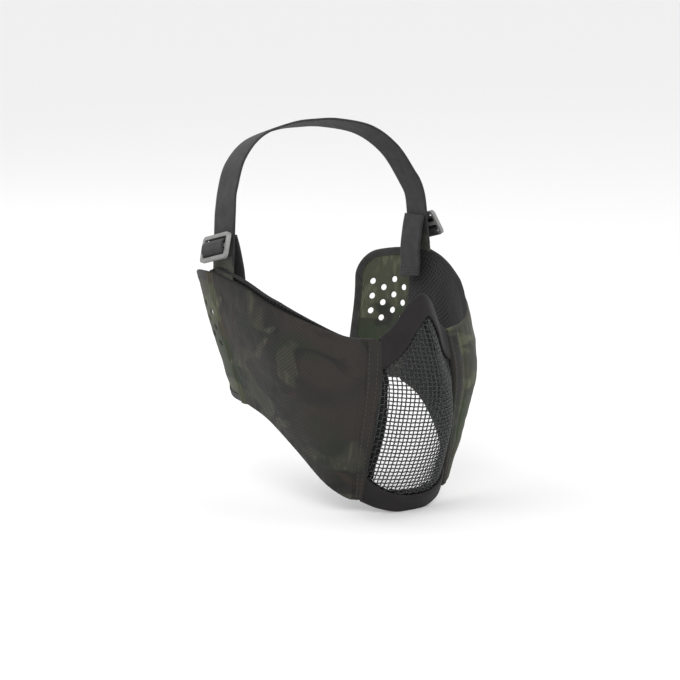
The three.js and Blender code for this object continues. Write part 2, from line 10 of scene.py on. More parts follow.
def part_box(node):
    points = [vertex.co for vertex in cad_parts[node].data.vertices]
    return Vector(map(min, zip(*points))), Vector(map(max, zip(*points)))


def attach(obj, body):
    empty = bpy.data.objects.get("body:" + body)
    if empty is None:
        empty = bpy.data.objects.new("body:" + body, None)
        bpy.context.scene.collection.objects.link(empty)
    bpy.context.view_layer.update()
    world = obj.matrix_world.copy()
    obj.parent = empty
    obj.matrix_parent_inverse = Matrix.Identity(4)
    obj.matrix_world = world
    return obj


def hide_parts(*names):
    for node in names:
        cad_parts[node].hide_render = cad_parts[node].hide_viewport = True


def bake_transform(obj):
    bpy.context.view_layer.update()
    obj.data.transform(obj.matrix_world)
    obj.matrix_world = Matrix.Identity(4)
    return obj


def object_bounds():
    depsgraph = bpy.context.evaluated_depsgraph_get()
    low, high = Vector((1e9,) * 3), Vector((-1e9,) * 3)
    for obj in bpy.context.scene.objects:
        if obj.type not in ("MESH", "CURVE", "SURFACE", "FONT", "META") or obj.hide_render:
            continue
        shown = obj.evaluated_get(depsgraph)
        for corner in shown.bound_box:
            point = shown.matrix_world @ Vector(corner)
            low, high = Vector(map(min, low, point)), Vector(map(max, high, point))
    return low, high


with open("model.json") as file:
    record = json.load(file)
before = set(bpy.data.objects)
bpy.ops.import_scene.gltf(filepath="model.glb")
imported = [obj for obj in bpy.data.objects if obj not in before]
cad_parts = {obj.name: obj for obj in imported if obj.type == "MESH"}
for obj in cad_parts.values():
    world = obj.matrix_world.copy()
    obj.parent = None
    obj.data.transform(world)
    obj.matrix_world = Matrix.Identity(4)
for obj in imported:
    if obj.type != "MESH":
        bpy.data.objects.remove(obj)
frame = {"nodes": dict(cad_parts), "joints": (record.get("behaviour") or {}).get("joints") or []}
cad_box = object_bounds()
mm = 0.001

# ---------------------------------------------------------------------------
# Camera: a long lens about a metre and a half away, a little above the mask and
# 34 degrees round to the wearer's right.
# ---------------------------------------------------------------------------
view_azimuth, view_elevation, view_roll = (math.radians(a) for a in (-34.0, 10.2, 0.9))
view_target = Vector((0, -40, -10)) * mm
view_distance = 1.584
view_right = Vector((math.cos(view_azimuth), math.sin(view_azimuth), 0))
view_back = Vector(
    (
        math.sin(view_azimuth) * math.cos(view_elevation),
        -math.cos(view_azimuth) * math.cos(view_elevation),
        math.sin(view_elevation),
    )
)
view_up = view_back.cross(view_right)
camera = bpy.data.objects.new("camera", bpy.data.cameras.new("camera"))
camera.data.lens = 125.4
camera.data.sensor_width = 36
camera.data.shift_x = -0.0437
camera.data.shift_y = -0.0219
bpy.context.scene.view_settings.view_transform = "Standard"
axes = Matrix(
    (
        view_right * math.cos(view_roll) - view_up * math.sin(view_roll),
        view_right * math.sin(view_roll) + view_up * math.cos(view_roll),
        view_back,
    )
).transposed()
camera.matrix_world = Matrix.Translation(view_target + view_back * view_distance) @ axes.to_4x4()
bpy.context.scene.collection.objects.link(camera)
bpy.context.scene.camera = camera

# ---------------------------------------------------------------------------
# Studio: a plain pale floor just under the chin, a white surround and three
# large soft lamps.
# ---------------------------------------------------------------------------


def plain(name, colour, roughness, **more):
    """A material with one Principled shader; returns the material and that shader.
    more sets other inputs of the shader, with _ for each space in a name."""
    material = bpy.data.materials.new(name)
    material.use_nodes = True
    shader = material.node_tree.nodes["Principled BSDF"]
    shader.inputs["Base Color"].default_value = (*colour, 1)
    shader.inputs["Roughness"].default_value = roughness
    for key, value in more.items():
        shader.inputs[key.replace("_", " ")].default_value = value
    return material, shader


studio = bmesh.new()
bmesh.ops.create_grid(studio, x_segments=4, y_segments=4, size=60)
bmesh.ops.translate(studio, verts=studio.verts, vec=(0, 0, cad_box[0][2] - 0.6 * mm))
floor = bpy.data.objects.new("floor", bpy.data.meshes.new("floor"))
studio.to_mesh(floor.data)
studio.free()
floor.data.materials.append(plain("studio_floor", (0.86, 0.86, 0.86), 0.9)[0])
bpy.context.scene.collection.objects.link(floor)

world = bpy.data.worlds.new("studio")
world.use_nodes = True
world.node_tree.nodes["Background"].inputs["Color"].default_value = (1, 1, 1, 1)
world.node_tree.nodes["Background"].inputs["Strength"].default_value = 1.0
bpy.context.scene.world = world
for lamp_name, lamp_at, lamp_power, lamp_size in (
    ("key", (-0.9, -1.3, 1.1), 13, 1.0),
    ("fill", (1.3, -1.0, 0.5), 5, 1.2),
    ("rim", (-0.6, 1.2, 1.0), 7, 0.9),
):
    lamp = bpy.data.objects.new(lamp_name, bpy.data.lights.new(lamp_name, "AREA"))
    lamp.data.energy = lamp_power
    lamp.data.size = lamp_size
    lamp.location = lamp_at
    lamp.rotation_euler = (view_target - Vector(lamp_at)).to_track_quat("-Z", "Y").to_euler()
    bpy.context.scene.collection.objects.link(lamp)

# ---------------------------------------------------------------------------
# Mesh screen: plain-woven mild-steel wire, pressed into a ridged half face and
# stoved black. Each wire passes over one and under the next.
# ---------------------------------------------------------------------------
# The outer face is a net of points drawn in millimetres and scaled to the frame.
left_shell_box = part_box("left_shell")
face_scale = np.array(
    [
        left_shell_box[1].x / (84.0 * mm),
        (left_shell_box[1].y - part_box("mesh_screen")[0].y) / (151.4 * mm),
        (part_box("nose_trim")[1].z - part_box("chin_trim")[0].z) / (144.5 * mm),
    ]
)


def net(rows):
    return np.array(rows, float) * face_scale


front_half = net(
    [
        [(0, -86, -127), (12, -85.5, -126), (24, -81, -122.5), (33, -74, -117.5)],
        [(0, -106, -97), (12, -103.5, -96), (23, -95, -94.5), (33, -80, -93)],
        [(0, -119, -68), (11, -115.5, -68), (22, -105, -68), (32, -88, -69)],
        [(0, -126, -41), (10, -119, -42), (21, -106, -43.5), (31, -93, -45)],
        [(0, -117.5, -14), (9, -110.5, -17), (19, -100, -24), (29, -93, -28)],
        [(0, -102.5, 17.5), (9, -99, 11.5), (18, -94, -3), (27, -91, -11)],
    ]
)
front_net = np.concatenate([front_half[:, :0:-1] * (-1, 1, 1), front_half], axis=1)


def spline_weights(count, share):
    """Index and four weights of a Catmull-Rom spline through count points."""
    at = np.clip(share, 0, 1) * (count - 1)
    k = np.clip(np.floor(at).astype(int), 0, count - 2)
    w = at - k
    weights = [
        -w / 2 + w**2 - w**3 / 2,
        1 - 5 * w**2 / 2 + 3 * w**3 / 2,
        w / 2 + 2 * w**2 - 3 * w**3 / 2,
        -(w**2) / 2 + w**3 / 2,
    ]
    return k, weights


def with_ends(points):
    """The points with one more at each end, straight on."""
    return np.concatenate([[2 * points[0] - points[1]], points, [2 * points[-1] - points[-2]]])


def spline(points, share):
    points = np.asarray(points, float)
    k, weights = spline_weights(len(points), share)
    full = with_ends(points)
    return sum(w[..., None] * full[k + i] for i, w in enumerate(weights))


def surface_through(rows):
    full = with_ends(with_ends(rows).swapaxes(0, 1)).swapaxes(0, 1)

    def surface(u, v):
        u, v = np.broadcast_arrays(np.asarray(u, float), np.asarray(v, float))
        ku, wu = spline_weights(rows.shape[1], u)
        kv, wv = spline_weights(rows.shape[0], v)
        return sum(
            wu[i][..., None] * wv[j][..., None] * full[kv + j, ku + i]
            for i in range(4)
            for j in range(4)
        )

    return surface


front_surface = surface_through(front_net)


def front(across, up):
    """The outer face: across -1 to 1 from seam to seam, up 0 to 1 from chin to nose. Millimetres."""
    return front_surface((np.asarray(across, float) + 1) / 2, up)


def unit(vectors):
    return vectors / np.linalg.norm(vectors, axis=-1, keepdims=True)


def directions(surface, u, v, low_u=0.0):
    """Unit directions of growing u, growing v and outwards, at each u, v."""
    step = 2e-3
    u, v = np.broadcast_arrays(np.asarray(u, float), np.asarray(v, float))
    du = surface(np.clip(u + step, low_u, 1), v) - surface(np.clip(u - step, low_u, 1), v)
    dv = surface(u, np.clip(v + step, 0, 1)) - surface(u, np.clip(v - step, 0, 1))
    return unit(du), unit(dv), unit(np.cross(du, dv))


def front_directions(across, up):
    return directions(front, across, up, low_u=-1.0)


def reach(points):
    """Distance walked along a row of points, from its first."""
    return np.concatenate([[0], np.cumsum(np.linalg.norm(np.diff(points, axis=0), axis=1))])


def object_from(name, data, materials=()):
    thing = bpy.data.objects.new(name, data)
    for material in materials:
        data.materials.append(material)
    bpy.context.scene.collection.objects.link(thing)
    return thing


def from_bmesh(name, made, material):
    """An object of a bmesh, which is freed."""
    thing = object_from(name, bpy.data.meshes.new(name), [material])
    made.to_mesh(thing.data)
    made.free()
    thing.data.shade_smooth()
    return thing


def meshed(thing):
    """The same object with its curve or live modifiers made into plain mesh."""
    bpy.context.view_layer.update()
    shaped = thing.evaluated_get(bpy.context.evaluated_depsgraph_get())
    data = bpy.data.meshes.new_from_object(shaped)
    name, materials = thing.name, list(thing.data.materials)
    bpy.data.objects.remove(thing)
    data.materials.clear()
    made = object_from(name, data, materials)
    made.name = name
    return made


def wires(name, lines, radius, material):
    """Round wire or thread along each line of millimetre points."""
    data = bpy.data.curves.new(name, "CURVE")
    data.dimensions = "3D"
    data.bevel_depth = radius * mm
    data.bevel_resolution = 1
    data.use_fill_caps = True
    for line in lines:
        run = data.splines.new("POLY")
        run.points.add(len(line) - 1)
        four = np.ones((len(line), 4))
        four[:, :3] = np.asarray(line) * mm
        run.points.foreach_set("co", four.ravel())
    made = meshed(object_from(name, data, [material]))
    made.data.shade_smooth()
    return made


row_pitch, column_pitch = 2.75, 2.95
wire_radius = 0.46
screen_depth = 2.4  # middle of the screen below the trim's face
screen_margin = 3.2  # the wires end this far inside the trim's edge
face_height = 140  # from chin to nose along the face, for turning distances into shares
heights = np.linspace(-126, 17, 144)
across_steps = 160
acrosses = np.linspace(-1, 1, across_steps + 1)
ups = np.linspace(0, 1, 200)
level_up = np.empty((len(heights), len(acrosses)))
for i, across in enumerate(acrosses):
    level_up[:, i] = np.interp(heights, front(across, ups)[:, 2], ups, left=-1, right=2)
margin_share = screen_margin / face_height
inside = (level_up > margin_share) & (level_up < 1 - margin_share) & (np.abs(acrosses) < 0.99)
level_points = front(acrosses[None, :], np.clip(level_up, 0, 1))
level_out = front_directions(acrosses[None, :], np.clip(level_up, 0, 1))[2]
middle = len(acrosses) // 2
from_ridge = np.stack([reach(row) for row in level_points])
from_ridge -= from_ridge[:, middle : middle + 1]


def sampled(at, along, points):
    """The points at these distances, where along holds each point's own."""
    return np.stack([np.interp(at, along, points[:, a]) for a in range(3)], -1)


def row_at(height):
    """Share of the table of heights for a height, as whole row and part."""
    at = (height - heights[0]) / (heights[1] - heights[0])
    k = int(np.clip(math.floor(at), 0, len(heights) - 2))
    return k, at - k


def between_rows(table, k, part):
    return table[k] * (1 - part) + table[k + 1] * part


def woven_line(points, outs, keep, wave):
    """Cuts a wire where it leaves the screen and crimps it by wave."""
    line = points + outs * (wave[:, None] * wire_radius - screen_depth)
    runs, run = [], []
    for point, kept in zip(line, keep):
        if kept:
            run.append(point)
        elif run:
            runs.append(run)
            run = []
    return [r for r in runs + [run] if len(r) > 4]


screen_lines = []
half_count = 17
for i, height in enumerate(np.arange(heights[0], heights[-1], row_pitch)):
    k, part = row_at(height)
    along = between_rows(from_ridge, k, part)
    steps = np.arange(-half_count * column_pitch, half_count * column_pitch + 0.01, column_pitch / 4)
    steps = steps[(steps > along[0]) & (steps < along[-1])]
    points = between_rows(level_points, k, part)
    outs = unit(between_rows(level_out, k, part))
    line, out = sampled(steps, along, points), sampled(steps, along, outs)
    keep = np.interp(steps, along, inside[k].astype(float)) > 0.99
    screen_lines += woven_line(line, out, keep, np.cos(math.pi * (steps / column_pitch + i)))
for j in range(-half_count, half_count + 1):
    levels = np.arange(heights[0], heights[-1], row_pitch / 4)
    line, out, keep = [], [], []
    for height in levels:
        k, part = row_at(height)
        along = between_rows(from_ridge, k, part)
        at = j * column_pitch
        points = between_rows(level_points, k, part)
        line.append(sampled(at, along, points))
        out.append(sampled(at, along, level_out[k]))
        keep.append(along[0] < at < along[-1] and np.interp(at, along, inside[k].astype(float)) > 0.99)
    wave = -np.cos(math.pi * ((levels - heights[0]) / row_pitch + j))
    screen_lines += woven_line(np.array(line), unit(np.array(out)), keep, wave)


def link(material, source, target):
    material.node_tree.links.new(source, target)


def add_node(material, kind, **settings):
    made = material.node_tree.nodes.new(kind)
    for key, value in settings.items():
        if hasattr(made, key):
            setattr(made, key, value)
        else:
            made.inputs[key.replace("_", " ")].default_value = value
    return made


def texture_place(material, kind="Object", scale=(1, 1, 1), turn=(0, 0, 0), move=(0, 0, 0)):
    where = add_node(material, "ShaderNodeTexCoord")
    mapping = add_node(material, "ShaderNodeMapping")
    mapping.inputs["Scale"].default_value = scale
    mapping.inputs["Rotation"].default_value = turn
    mapping.inputs["Location"].default_value = move
    link(material, where.outputs[kind], mapping.inputs["Vector"])
    return mapping.outputs["Vector"]


def noise_of(material, scale, detail=3.0, rough=0.55, place=None, distortion=0.0):
    made = add_node(material, "ShaderNodeTexNoise", Scale=scale, Detail=detail, Roughness=rough)
    made.inputs["Distortion"].default_value = distortion
    link(material, place or texture_place(material), made.inputs["Vector"])
    return made.outputs["Fac"]


def ramp(material, source, *stops):
    """A colour ramp through (position, colour) stops; a bare number is a grey."""
    made = add_node(material, "ShaderNodeValToRGB")
    while len(made.color_ramp.elements) < len(stops):
        made.color_ramp.elements.new(0.5)
    for element, (position, colour) in zip(made.color_ramp.elements, stops):
        element.position = position
        element.color = (colour,) * 3 + (1,) if isinstance(colour, (int, float)) else (*colour, 1)
    link(material, source, made.inputs["Fac"])
    return made.outputs["Color"]


def mixed(material, share, under, over, blend="MIX"):
    """One colour over another; share and over may each be a plain value."""
    made = add_node(material, "ShaderNodeMix", data_type="RGBA", blend_type=blend)
    link(material, under, made.inputs["A"])
    for key, value in (("Factor", share), ("B", over)):
        if isinstance(value, bpy.types.NodeSocket):
            link(material, value, made.inputs[key])
        else:
            made.inputs[key].default_value = value
    return made.outputs["Result"]


def wave_of(material, direction, scale, distortion, place):
    """Bands of a wave, for threads and ribs."""
    made = add_node(material, "ShaderNodeTexWave", wave_type="BANDS", bands_direction=direction)
    made.inputs["Scale"].default_value = scale
    made.inputs["Distortion"].default_value = distortion
    link(material, place, made.inputs["Vector"])
    return made


def bump(material, shader, height, strength, distance, under=None):
    made = add_node(material, "ShaderNodeBump", Strength=strength, Distance=distance * mm)
    link(material, height, made.inputs["Height"])
    if under:
        link(material, under, made.inputs["Normal"])
    if shader:
        link(material, made.outputs["Normal"], shader.inputs["Normal"])
    return made.outputs["Normal"]


def black_enamel():
    """Stoved black enamel on steel: satin and a little uneven."""
    material, shader = plain("black_enamel", (0.016, 0.017, 0.018), 0.38, Metallic=0.35)
    thin, thick = (0.045, 0.047, 0.048), (0.014, 0.015, 0.016)
    coat = ramp(material, noise_of(material, 900, 2), (0.3, thick), (0.75, thin))
    link(material, coat, shader.inputs["Base Color"])
    satin = ramp(material, noise_of(material, 2400), (0.3, 0.3), (0.7, 0.52))
    link(material, satin, shader.inputs["Roughness"])
    bump(material, shader, noise_of(material, 3000, 1), 0.2, 0.05)
    return material


enamel = black_enamel()
screen = wires("woven_screen", screen_lines, wire_radius, enamel)
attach(screen, "front")
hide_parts("mesh_screen")

# ---------------------------------------------------------------------------
# Edge wire: one closed loop of heavier wire that the screen's cut ends are welded
# to. It lies hidden between the trims, so the frame's own solid stays.
# ---------------------------------------------------------------------------
edge_wire = frame["nodes"]["screen_edge_wire"]
edge_wire.data.materials.clear()
edge_wire.data.materials.append(enamel)

# ---------------------------------------------------------------------------
# Nose and chin trims: two bands of closed-cell neoprene bonded over the screen's
# upper and lower edge, the outer one turned over the edge on to the inner one.
# ---------------------------------------------------------------------------
trim_stack = 5.2  # outer face to the back of the inner band
nose_band_centre, nose_band_side = 13.0, 20.0
chin_band_centre, chin_band_side = 13.0, 17.0


def cloth(name, columns, rows, place, material, side=1, closed=False):
    """A grid bent by place(s, t), which gives millimetre points for shares 0 to 1; side -1 mirrors it.
    Its UV map is in metres, along s and then t."""
    made = bmesh.new()
    uv = made.loops.layers.uv.new("UVMap")
    bmesh.ops.create_grid(made, x_segments=columns, y_segments=rows, size=0.5, calc_uvs=True)
    shares = np.array([v.co for v in made.verts])[:, :2] + 0.5
    points = place(shares[:, 0], shares[:, 1]) * (side, 1, 1)
    for vertex, point in zip(made.verts, points):
        vertex.co = point * mm
    even = np.linspace(0, 1, 40)
    length = reach(place(even, np.full(40, 0.5)))[-1] * mm
    width = reach(place(np.full(40, 0.5), even))[-1] * mm
    for face in made.faces:
        for loop in face.loops:
            loop[uv].uv = (loop[uv].uv[0] * length, loop[uv].uv[1] * width)
    if side < 0:
        bmesh.ops.reverse_faces(made, faces=made.faces)
    if closed:
        bmesh.ops.remove_doubles(made, verts=made.verts, dist=0.01 * mm)
    return from_bmesh(name, made, material)


def thicken(thing, thickness):
    """Gives cloth its thickness, inwards, and rounds it."""
    wall = thing.modifiers.new("wall", "SOLIDIFY")
    wall.thickness = thickness * mm
    wall.offset = -1
    soft = thing.modifiers.new("soft", "SUBSURF")
    soft.levels = soft.render_levels = 1


def neoprene():
    """Matt black closed-cell rubber with a fine fabric face and a faint dusty sheen."""
    cloth_look = {"Sheen_Weight": 0.03, "Sheen_Roughness": 0.45, "Specular_IOR_Level": 0.22}
    material, shader = plain("neoprene", (0.014, 0.0125, 0.013), 0.82, **cloth_look)
    cloud = noise_of(material, 60, 4)
    dark, light = (0.011, 0.0098, 0.0102), (0.018, 0.0162, 0.016)
    link(material, ramp(material, cloud, (0.3, dark), (0.75, light)), shader.inputs["Base Color"])
    grain = add_node(material, "ShaderNodeTexVoronoi", Scale=1900.0)
    link(material, texture_place(material), grain.inputs["Vector"])
    soft_normal = bump(material, None, cloud, 0.3, 0.5)
    bump(material, shader, grain.outputs["Distance"], 0.35, 0.12, under=soft_normal)
    return material


trim_rubber = neoprene()


def share_table(start, end):
    """For each across of the table, the up share at a distance from start (0 chin, 1 nose)."""
    rows = [reach(front(a, start + (end - start) * ups)) for a in acrosses]
    return lambda across, distance: np.array(
        [
            start + (end - start) * np.interp(d, rows[int(round((a + 1) / 2 * across_steps))], ups)
            for a, d in zip(np.atleast_1d(across), np.broadcast_to(distance, np.shape(across)))
        ]
    )


above_chin = share_table(0, 1)
below_nose = share_table(1, 0)


def nose_band(across):
    return nose_band_centre + (nose_band_side - nose_band_centre) * np.minimum(1, np.abs(across) * 2.2)


def chin_band(across):
    to_side = np.maximum(0, 2 * np.abs(across) - 1) ** 2
    return chin_band_centre + (chin_band_side - chin_band_centre) * to_side


def snap(across):
    """The nearest across that the tables hold."""
    half_steps = across_steps / 2
    return np.round((across + 1) * half_steps) / half_steps - 1


def trim_place(edge_at, outward, band):
    """Outer band from the opening to the screen's edge, then a half round over the edge.
    edge_at is 0 for the chin and 1 for the nose; outward the sign of up there."""
    turn_share = 0.4  # of the pattern's width, for the half round
    lip, lip_width, face = 0.9, 1.6, 0.5

    def place(s, t):
        across = snap(np.clip(s * 2 - 1, -0.995, 0.995))
        width = band(across)
        flat = np.clip(t / (1 - turn_share), 0, 1)
        angle = np.clip((t - (1 - turn_share)) / turn_share, 0, 1) * math.pi
        distance = width * (1 - flat)
        up = (below_nose if edge_at else above_chin)(across, distance)
        _, rise, out = front_directions(across, up)
        radius = trim_stack / 2
        # the opening's edge is pinched down on to the screen
        pinch = -lip * np.exp(-((flat * width) / lip_width) ** 2)
        offset = pinch + face + (radius * np.cos(angle) - radius)
        beyond = radius * np.sin(angle)
        return front(across, up) + out * offset[:, None] + rise * (outward * beyond)[:, None]

    return place


def backing_place(edge_at, band):
    """The inner band: a little narrower than the outer one, its long edges rounded off."""
    inset, rise = 1.2, 1.5  # in from the edge; up from the back of the stack

    def place(s, t):
        across = snap(np.clip(s * 2 - 1, -0.985, 0.985))
        width = band(across) - 1
        up = (below_nose if edge_at else above_chin)(across, inset + (width - inset) * t)
        out = front_directions(across, up)[2]
        round_edge = 0.8 * (2 * np.abs(t - 0.5)) ** 6
        return front(across, up) - out * (trim_stack - rise + round_edge)[:, None]

    return place


for name, columns, rows, place, node, flip, thickness in (
    ("nose_band", 120, 22, trim_place(1, 1, nose_band), "nose_trim", False, 1.3),
    ("chin_band", 120, 22, trim_place(0, -1, chin_band), "chin_trim", True, 1.3),
    ("nose_band_backing", 80, 10, backing_place(1, nose_band), "nose_trim_backing", True, 1.4),
    ("chin_band_backing", 80, 10, backing_place(0, chin_band), "chin_trim_backing", False, 1.4),
):
    trim = cloth(name, columns, rows, place, trim_rubber)
    if flip:
        trim.data.flip_normals()
    thicken(trim, thickness)
    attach(trim, "front")
    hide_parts(node)

# ---------------------------------------------------------------------------
# Wing shells: dark woven nylon with a printed leaf camouflage, wrapped over the
# foam at the top and jaw edges and sewn down along the seam beside the screen.
# ---------------------------------------------------------------------------
wing_points = net(
    [
        [(42, -70, -115), (51, -58, -106), (59, -36, -86.5), (64, -10, -70), (66, 16, -62.5)],
        [(48, -77, -78), (59, -65, -70), (68, -40, -56), (72, -12, -41), (73, 19.5, -33)],
        [(51, -85, -43), (66, -68, -38), (76, -42, -26), (79, -13, -11), (80, 23.5, -4)],
        [(48, -84, -8), (64, -64, 0), (76, -38, 9), (81.5, -10, 19), (84, 27.5, 25.5)],
    ]
)
seam_points = front(1.0, np.array([0, 1, 2, 3]) / 3)
wing = surface_through(np.concatenate([seam_points[:, None], wing_points], axis=1))
wing_length, wing_height = 120.0, 95.0


def camouflage(name, leaf=0.5, lift=1.0, green=0.0, weave_turn=0.0):
    """Printed nylon: charcoal, brown and dark green grounds that run into each other, under a few sharper
    olive patches flecked with grass, over a fine diagonal weave. leaf is how much of the print is olive,
    lift how light it all is and green how far it leans from brown to green."""
    cloth_look = {"Sheen_Weight": 0.06, "Sheen_Roughness": 0.5, "Specular_IOR_Level": 0.22}
    material, shader = plain(name, (0.04, 0.04, 0.03), 0.88, **cloth_look)
    tint = np.array([1 - 0.03 * green, 1 + 0.06 * green, 1 - 0.16 * green]) * lift * 0.82

    def tone(*colour):
        return tuple(np.array(colour) * tint)

    mixes = (
        # scale, start and end of the shape's edge, its colour, place, twist
        (17, 0.46, 0.60, tone(0.047, 0.041, 0.035), (3.1, 0.0, 7.0), 0.4),
        (22, 0.50, 0.62, tone(0.033, 0.039, 0.028), (8.3, 2.0, 1.0), 0.6),
        (30, 0.58, 0.66, tone(0.024, 0.024, 0.023), (9.9, 4.0, 5.5), 1.0),
        (52, 0.64, 0.70, tone(0.048, 0.036, 0.029), (6.6, 9.4, 3.3), 0.8),
        (25, 0.60 - 0.06 * leaf, 0.645 - 0.06 * leaf, tone(0.058, 0.057, 0.044), (1.7, 5.0, 2.2), 0.7),
    )
    ground = noise_of(material, 13, 3)
    colour = ramp(material, ground, (0.3, tone(0.031, 0.030, 0.030)), (0.7, tone(0.042, 0.039, 0.036)))
    for scale, low, high, paint, move, twist in mixes:
        place = texture_place(material, scale=(1, 0.8, 1.25), turn=(0.4, 0.3, 0.5), move=move)
        shape = noise_of(material, scale, 2.2, 0.5, place=place, distortion=twist)
        mask = ramp(material, shape, (low, 0.0), (high, 1.0))
        colour = mixed(material, mask, colour, (*paint, 1))
    # grass: thin pale strokes, only inside the olive patches
    strokes = texture_place(material, scale=(1, 1, 0.3), turn=(0.5, 0.2, 0.7))
    grassy = noise_of(material, 150, 1.5, place=strokes, distortion=1.2)
    blades = ramp(material, grassy, (0.55, 0.0), (0.66, 1.0))
    within = add_node(material, "ShaderNodeMath", operation="MULTIPLY")
    link(material, mask, within.inputs[0])
    link(material, blades, within.inputs[1])
    colour = mixed(material, within.outputs[0], colour, (*tone(0.088, 0.089, 0.066), 1))
    # thread by thread: painted shade and highlight, the weave's diagonal ridges lighter and the hollows
    # between them darker
    uv_place = texture_place(material, "UV", turn=(0, 0, weave_turn))
    weave = wave_of(material, "DIAGONAL", 290, 1.0, uv_place)
    weave.inputs["Detail"].default_value = 1.0
    cross = wave_of(material, "X", 320, 0.8, uv_place)
    twill_shade = ramp(material, weave.outputs["Fac"], (0.2, 0.66), (0.8, 1.30))
    link(material, mixed(material, 0.4, colour, twill_shade, "MULTIPLY"), shader.inputs["Base Color"])
    first = bump(material, None, noise_of(material, 220, 3), 0.35, 0.5)
    second = bump(material, None, weave.outputs["Fac"], 0.5, 0.16, under=first)
    bump(material, shader, cross.outputs["Fac"], 0.3, 0.10, under=second)
    return material


# Painted light: the left wing's copy of the print is greener and paler than the right one's, as if it
# stood in stronger light.
camo = {
    "right": camouflage("camouflage_nylon", leaf=0.2, lift=0.7),
    "left": camouflage("camouflage_left_painted_light", leaf=1.2, lift=1.3, green=1.0),
}


def fractal(points, scale, seed=0.0):
    """Smooth noise from -1 to 1 at millimetre points, with detail."""
    return np.array(
        [noise.fractal(Vector(p) / scale + Vector((seed, 0, 0)), 0.8, 2.0, 3) for p in points]
    )


edge_roll = 2.1  # radius of the shell's turned edges
puff_height, slack_height, crease_height = 1.5, 0.8, 0.35
hem_line, hem_line_depth = 12.5, 0.7  # a dent this far behind the front seam, along the hem
pucker_pitch, pucker_height = 7.5, 0.3


def rolled(surface, find, across, t, turn, inner):
    """Follows a surface from the lower roll, up its face and round the upper roll.
    t runs over the whole strip, turn is the share of each roll; inner is the depth where it ends."""
    up = np.clip((t - turn) / (1 - 2 * turn), 0, 1)
    low = np.clip((turn - t) / turn, 0, 1)
    high = np.clip((t - 1 + turn) / turn, 0, 1)
    angle = (low + high) * math.pi
    side = np.where(low > 0, -1.0, 1.0)
    _, rise, out = find(surface, across, up)
    offset = inner / 2 * (np.cos(angle) - 1)
    beyond = side * inner / 2 * np.sin(angle)
    return surface(across, up), rise, out, offset, beyond, up


def shell_place(s, t):
    """Puffed between the seams, dented along the stitched edges, with the slack wrinkles of cloth."""
    back = 0.015 + 0.985 * s
    base, rise, out, offset, beyond, up = rolled(wing, directions, back, t, 0.09, 2 * edge_roll)
    from_edge = np.minimum(up, 1 - up) * wing_height
    from_seam = np.minimum(back * wing_length, (1.004 - back) * wing_length)
    puff = puff_height * (1 - np.exp(-from_edge / 9)) * (1 - np.exp(-np.maximum(from_seam - 1, 0) / 8))
    slack = slack_height * fractal(base * (1.0, 0.6, 1.4), 26) * (1 - np.exp(-from_edge / 5))
    creases = crease_height * fractal(base * (1.0, 2.2, 0.7), 9, 4.0) * np.exp(-from_seam / 30)
    hem_pinch = -hem_line_depth * np.exp(-(((back * wing_length - hem_line) / 1.1) ** 2))
    waves = np.cos(back * wing_length * 2 * math.pi / pucker_pitch)
    pucker = pucker_height * waves * np.exp(-from_edge / 4)
    bulge = np.where(offset < -0.01, 0, puff + slack + creases + hem_pinch + pucker)
    return base + out * (offset + bulge)[:, None] + rise * beyond[:, None]


sides = (("left", 1), ("right", -1))
for side, sign in sides:
    shell = cloth(f"{side}_wing_shell", 110, 84, shell_place, camo[side], sign)
    thicken(shell, 0.8)
    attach(shell, f"{side}_wing")
    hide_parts(f"{side}_shell")

# ---------------------------------------------------------------------------
# Wing foam: a die-cut sheet of soft foam, full thickness in the middle and
# squeezed thin where the shell and lining are sewn together round it.
# ---------------------------------------------------------------------------


def foam_block():
    """Charcoal polyurethane foam: fine open cells, their hollows painted darker as shade."""
    material, shader = plain("pad_foam", (0.030, 0.030, 0.033), 0.95)
    cells = add_node(material, "ShaderNodeTexVoronoi", Scale=1300.0)
    link(material, texture_place(material), cells.inputs["Vector"])
    # painted shade: each open cell's hollow darker than the struts round it
    dark, light = (0.014, 0.014, 0.016), (0.040, 0.040, 0.044)
    pore_shade_colour = ramp(material, cells.outputs["Distance"], (0.0, dark), (0.5, light))
    link(material, pore_shade_colour, shader.inputs["Base Color"])
    bump(material, shader, cells.outputs["Distance"], 0.5, 0.2)
    return material


foam = foam_block()
foam_middle = 4.1  # depth of the foam's middle below the shell's face
foam_half, foam_fade = 1.5, 0.16  # half its thickness; share of the sheet over which it thins


def domed(share):
    """A pad's thickness near its edge: a quarter circle that rises from 0 to 1."""
    return np.sqrt(np.clip(1 - (1 - np.clip(share, 0, 1)) ** 2, 0, 1))


def slab_place(surface, low_u, high_u, low_v, high_v, depth, half, fade):
    """One face of a pad that thins towards its edges; half is signed, + for the outer face."""

    def place(s, t):
        u = low_u + (high_u - low_u) * s
        v = low_v + (high_v - low_v) * t
        out = directions(surface, u, v)[2]
        edge = np.minimum.reduce([s, 1 - s, t, 1 - t])
        return surface(u, v) + out * (half * domed(edge / fade) - depth)[:, None]

    return place


def pad(name, columns, rows, face, back, material, sign):
    """Joins the two faces of a pad round their shared edge."""
    made = bmesh.new()
    for place, flip in ((face, False), (back, True)):
        part = cloth(name, columns, rows, place, material, sign)
        if flip:
            part.data.flip_normals()
        made.from_mesh(part.data)
        data = part.data
        bpy.data.objects.remove(part)
        bpy.data.meshes.remove(data)
    bmesh.ops.remove_doubles(made, verts=made.verts, dist=0.02 * mm)
    return from_bmesh(name, made, material)


for side, sign in sides:
    halves = [
        slab_place(wing, 0.06, 0.96, 0.06, 0.94, foam_middle, half, foam_fade)
        for half in (foam_half, -foam_half)
    ]
    core = pad(f"{side}_wing_foam", 48, 36, *halves, foam, sign)
    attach(core, f"{side}_wing")
    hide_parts(f"{side}_foam")

# ---------------------------------------------------------------------------
# Wing linings: black spacer mesh against the skin, its open honeycomb face
# rolled up over the top edge towards the ear.
# ---------------------------------------------------------------------------


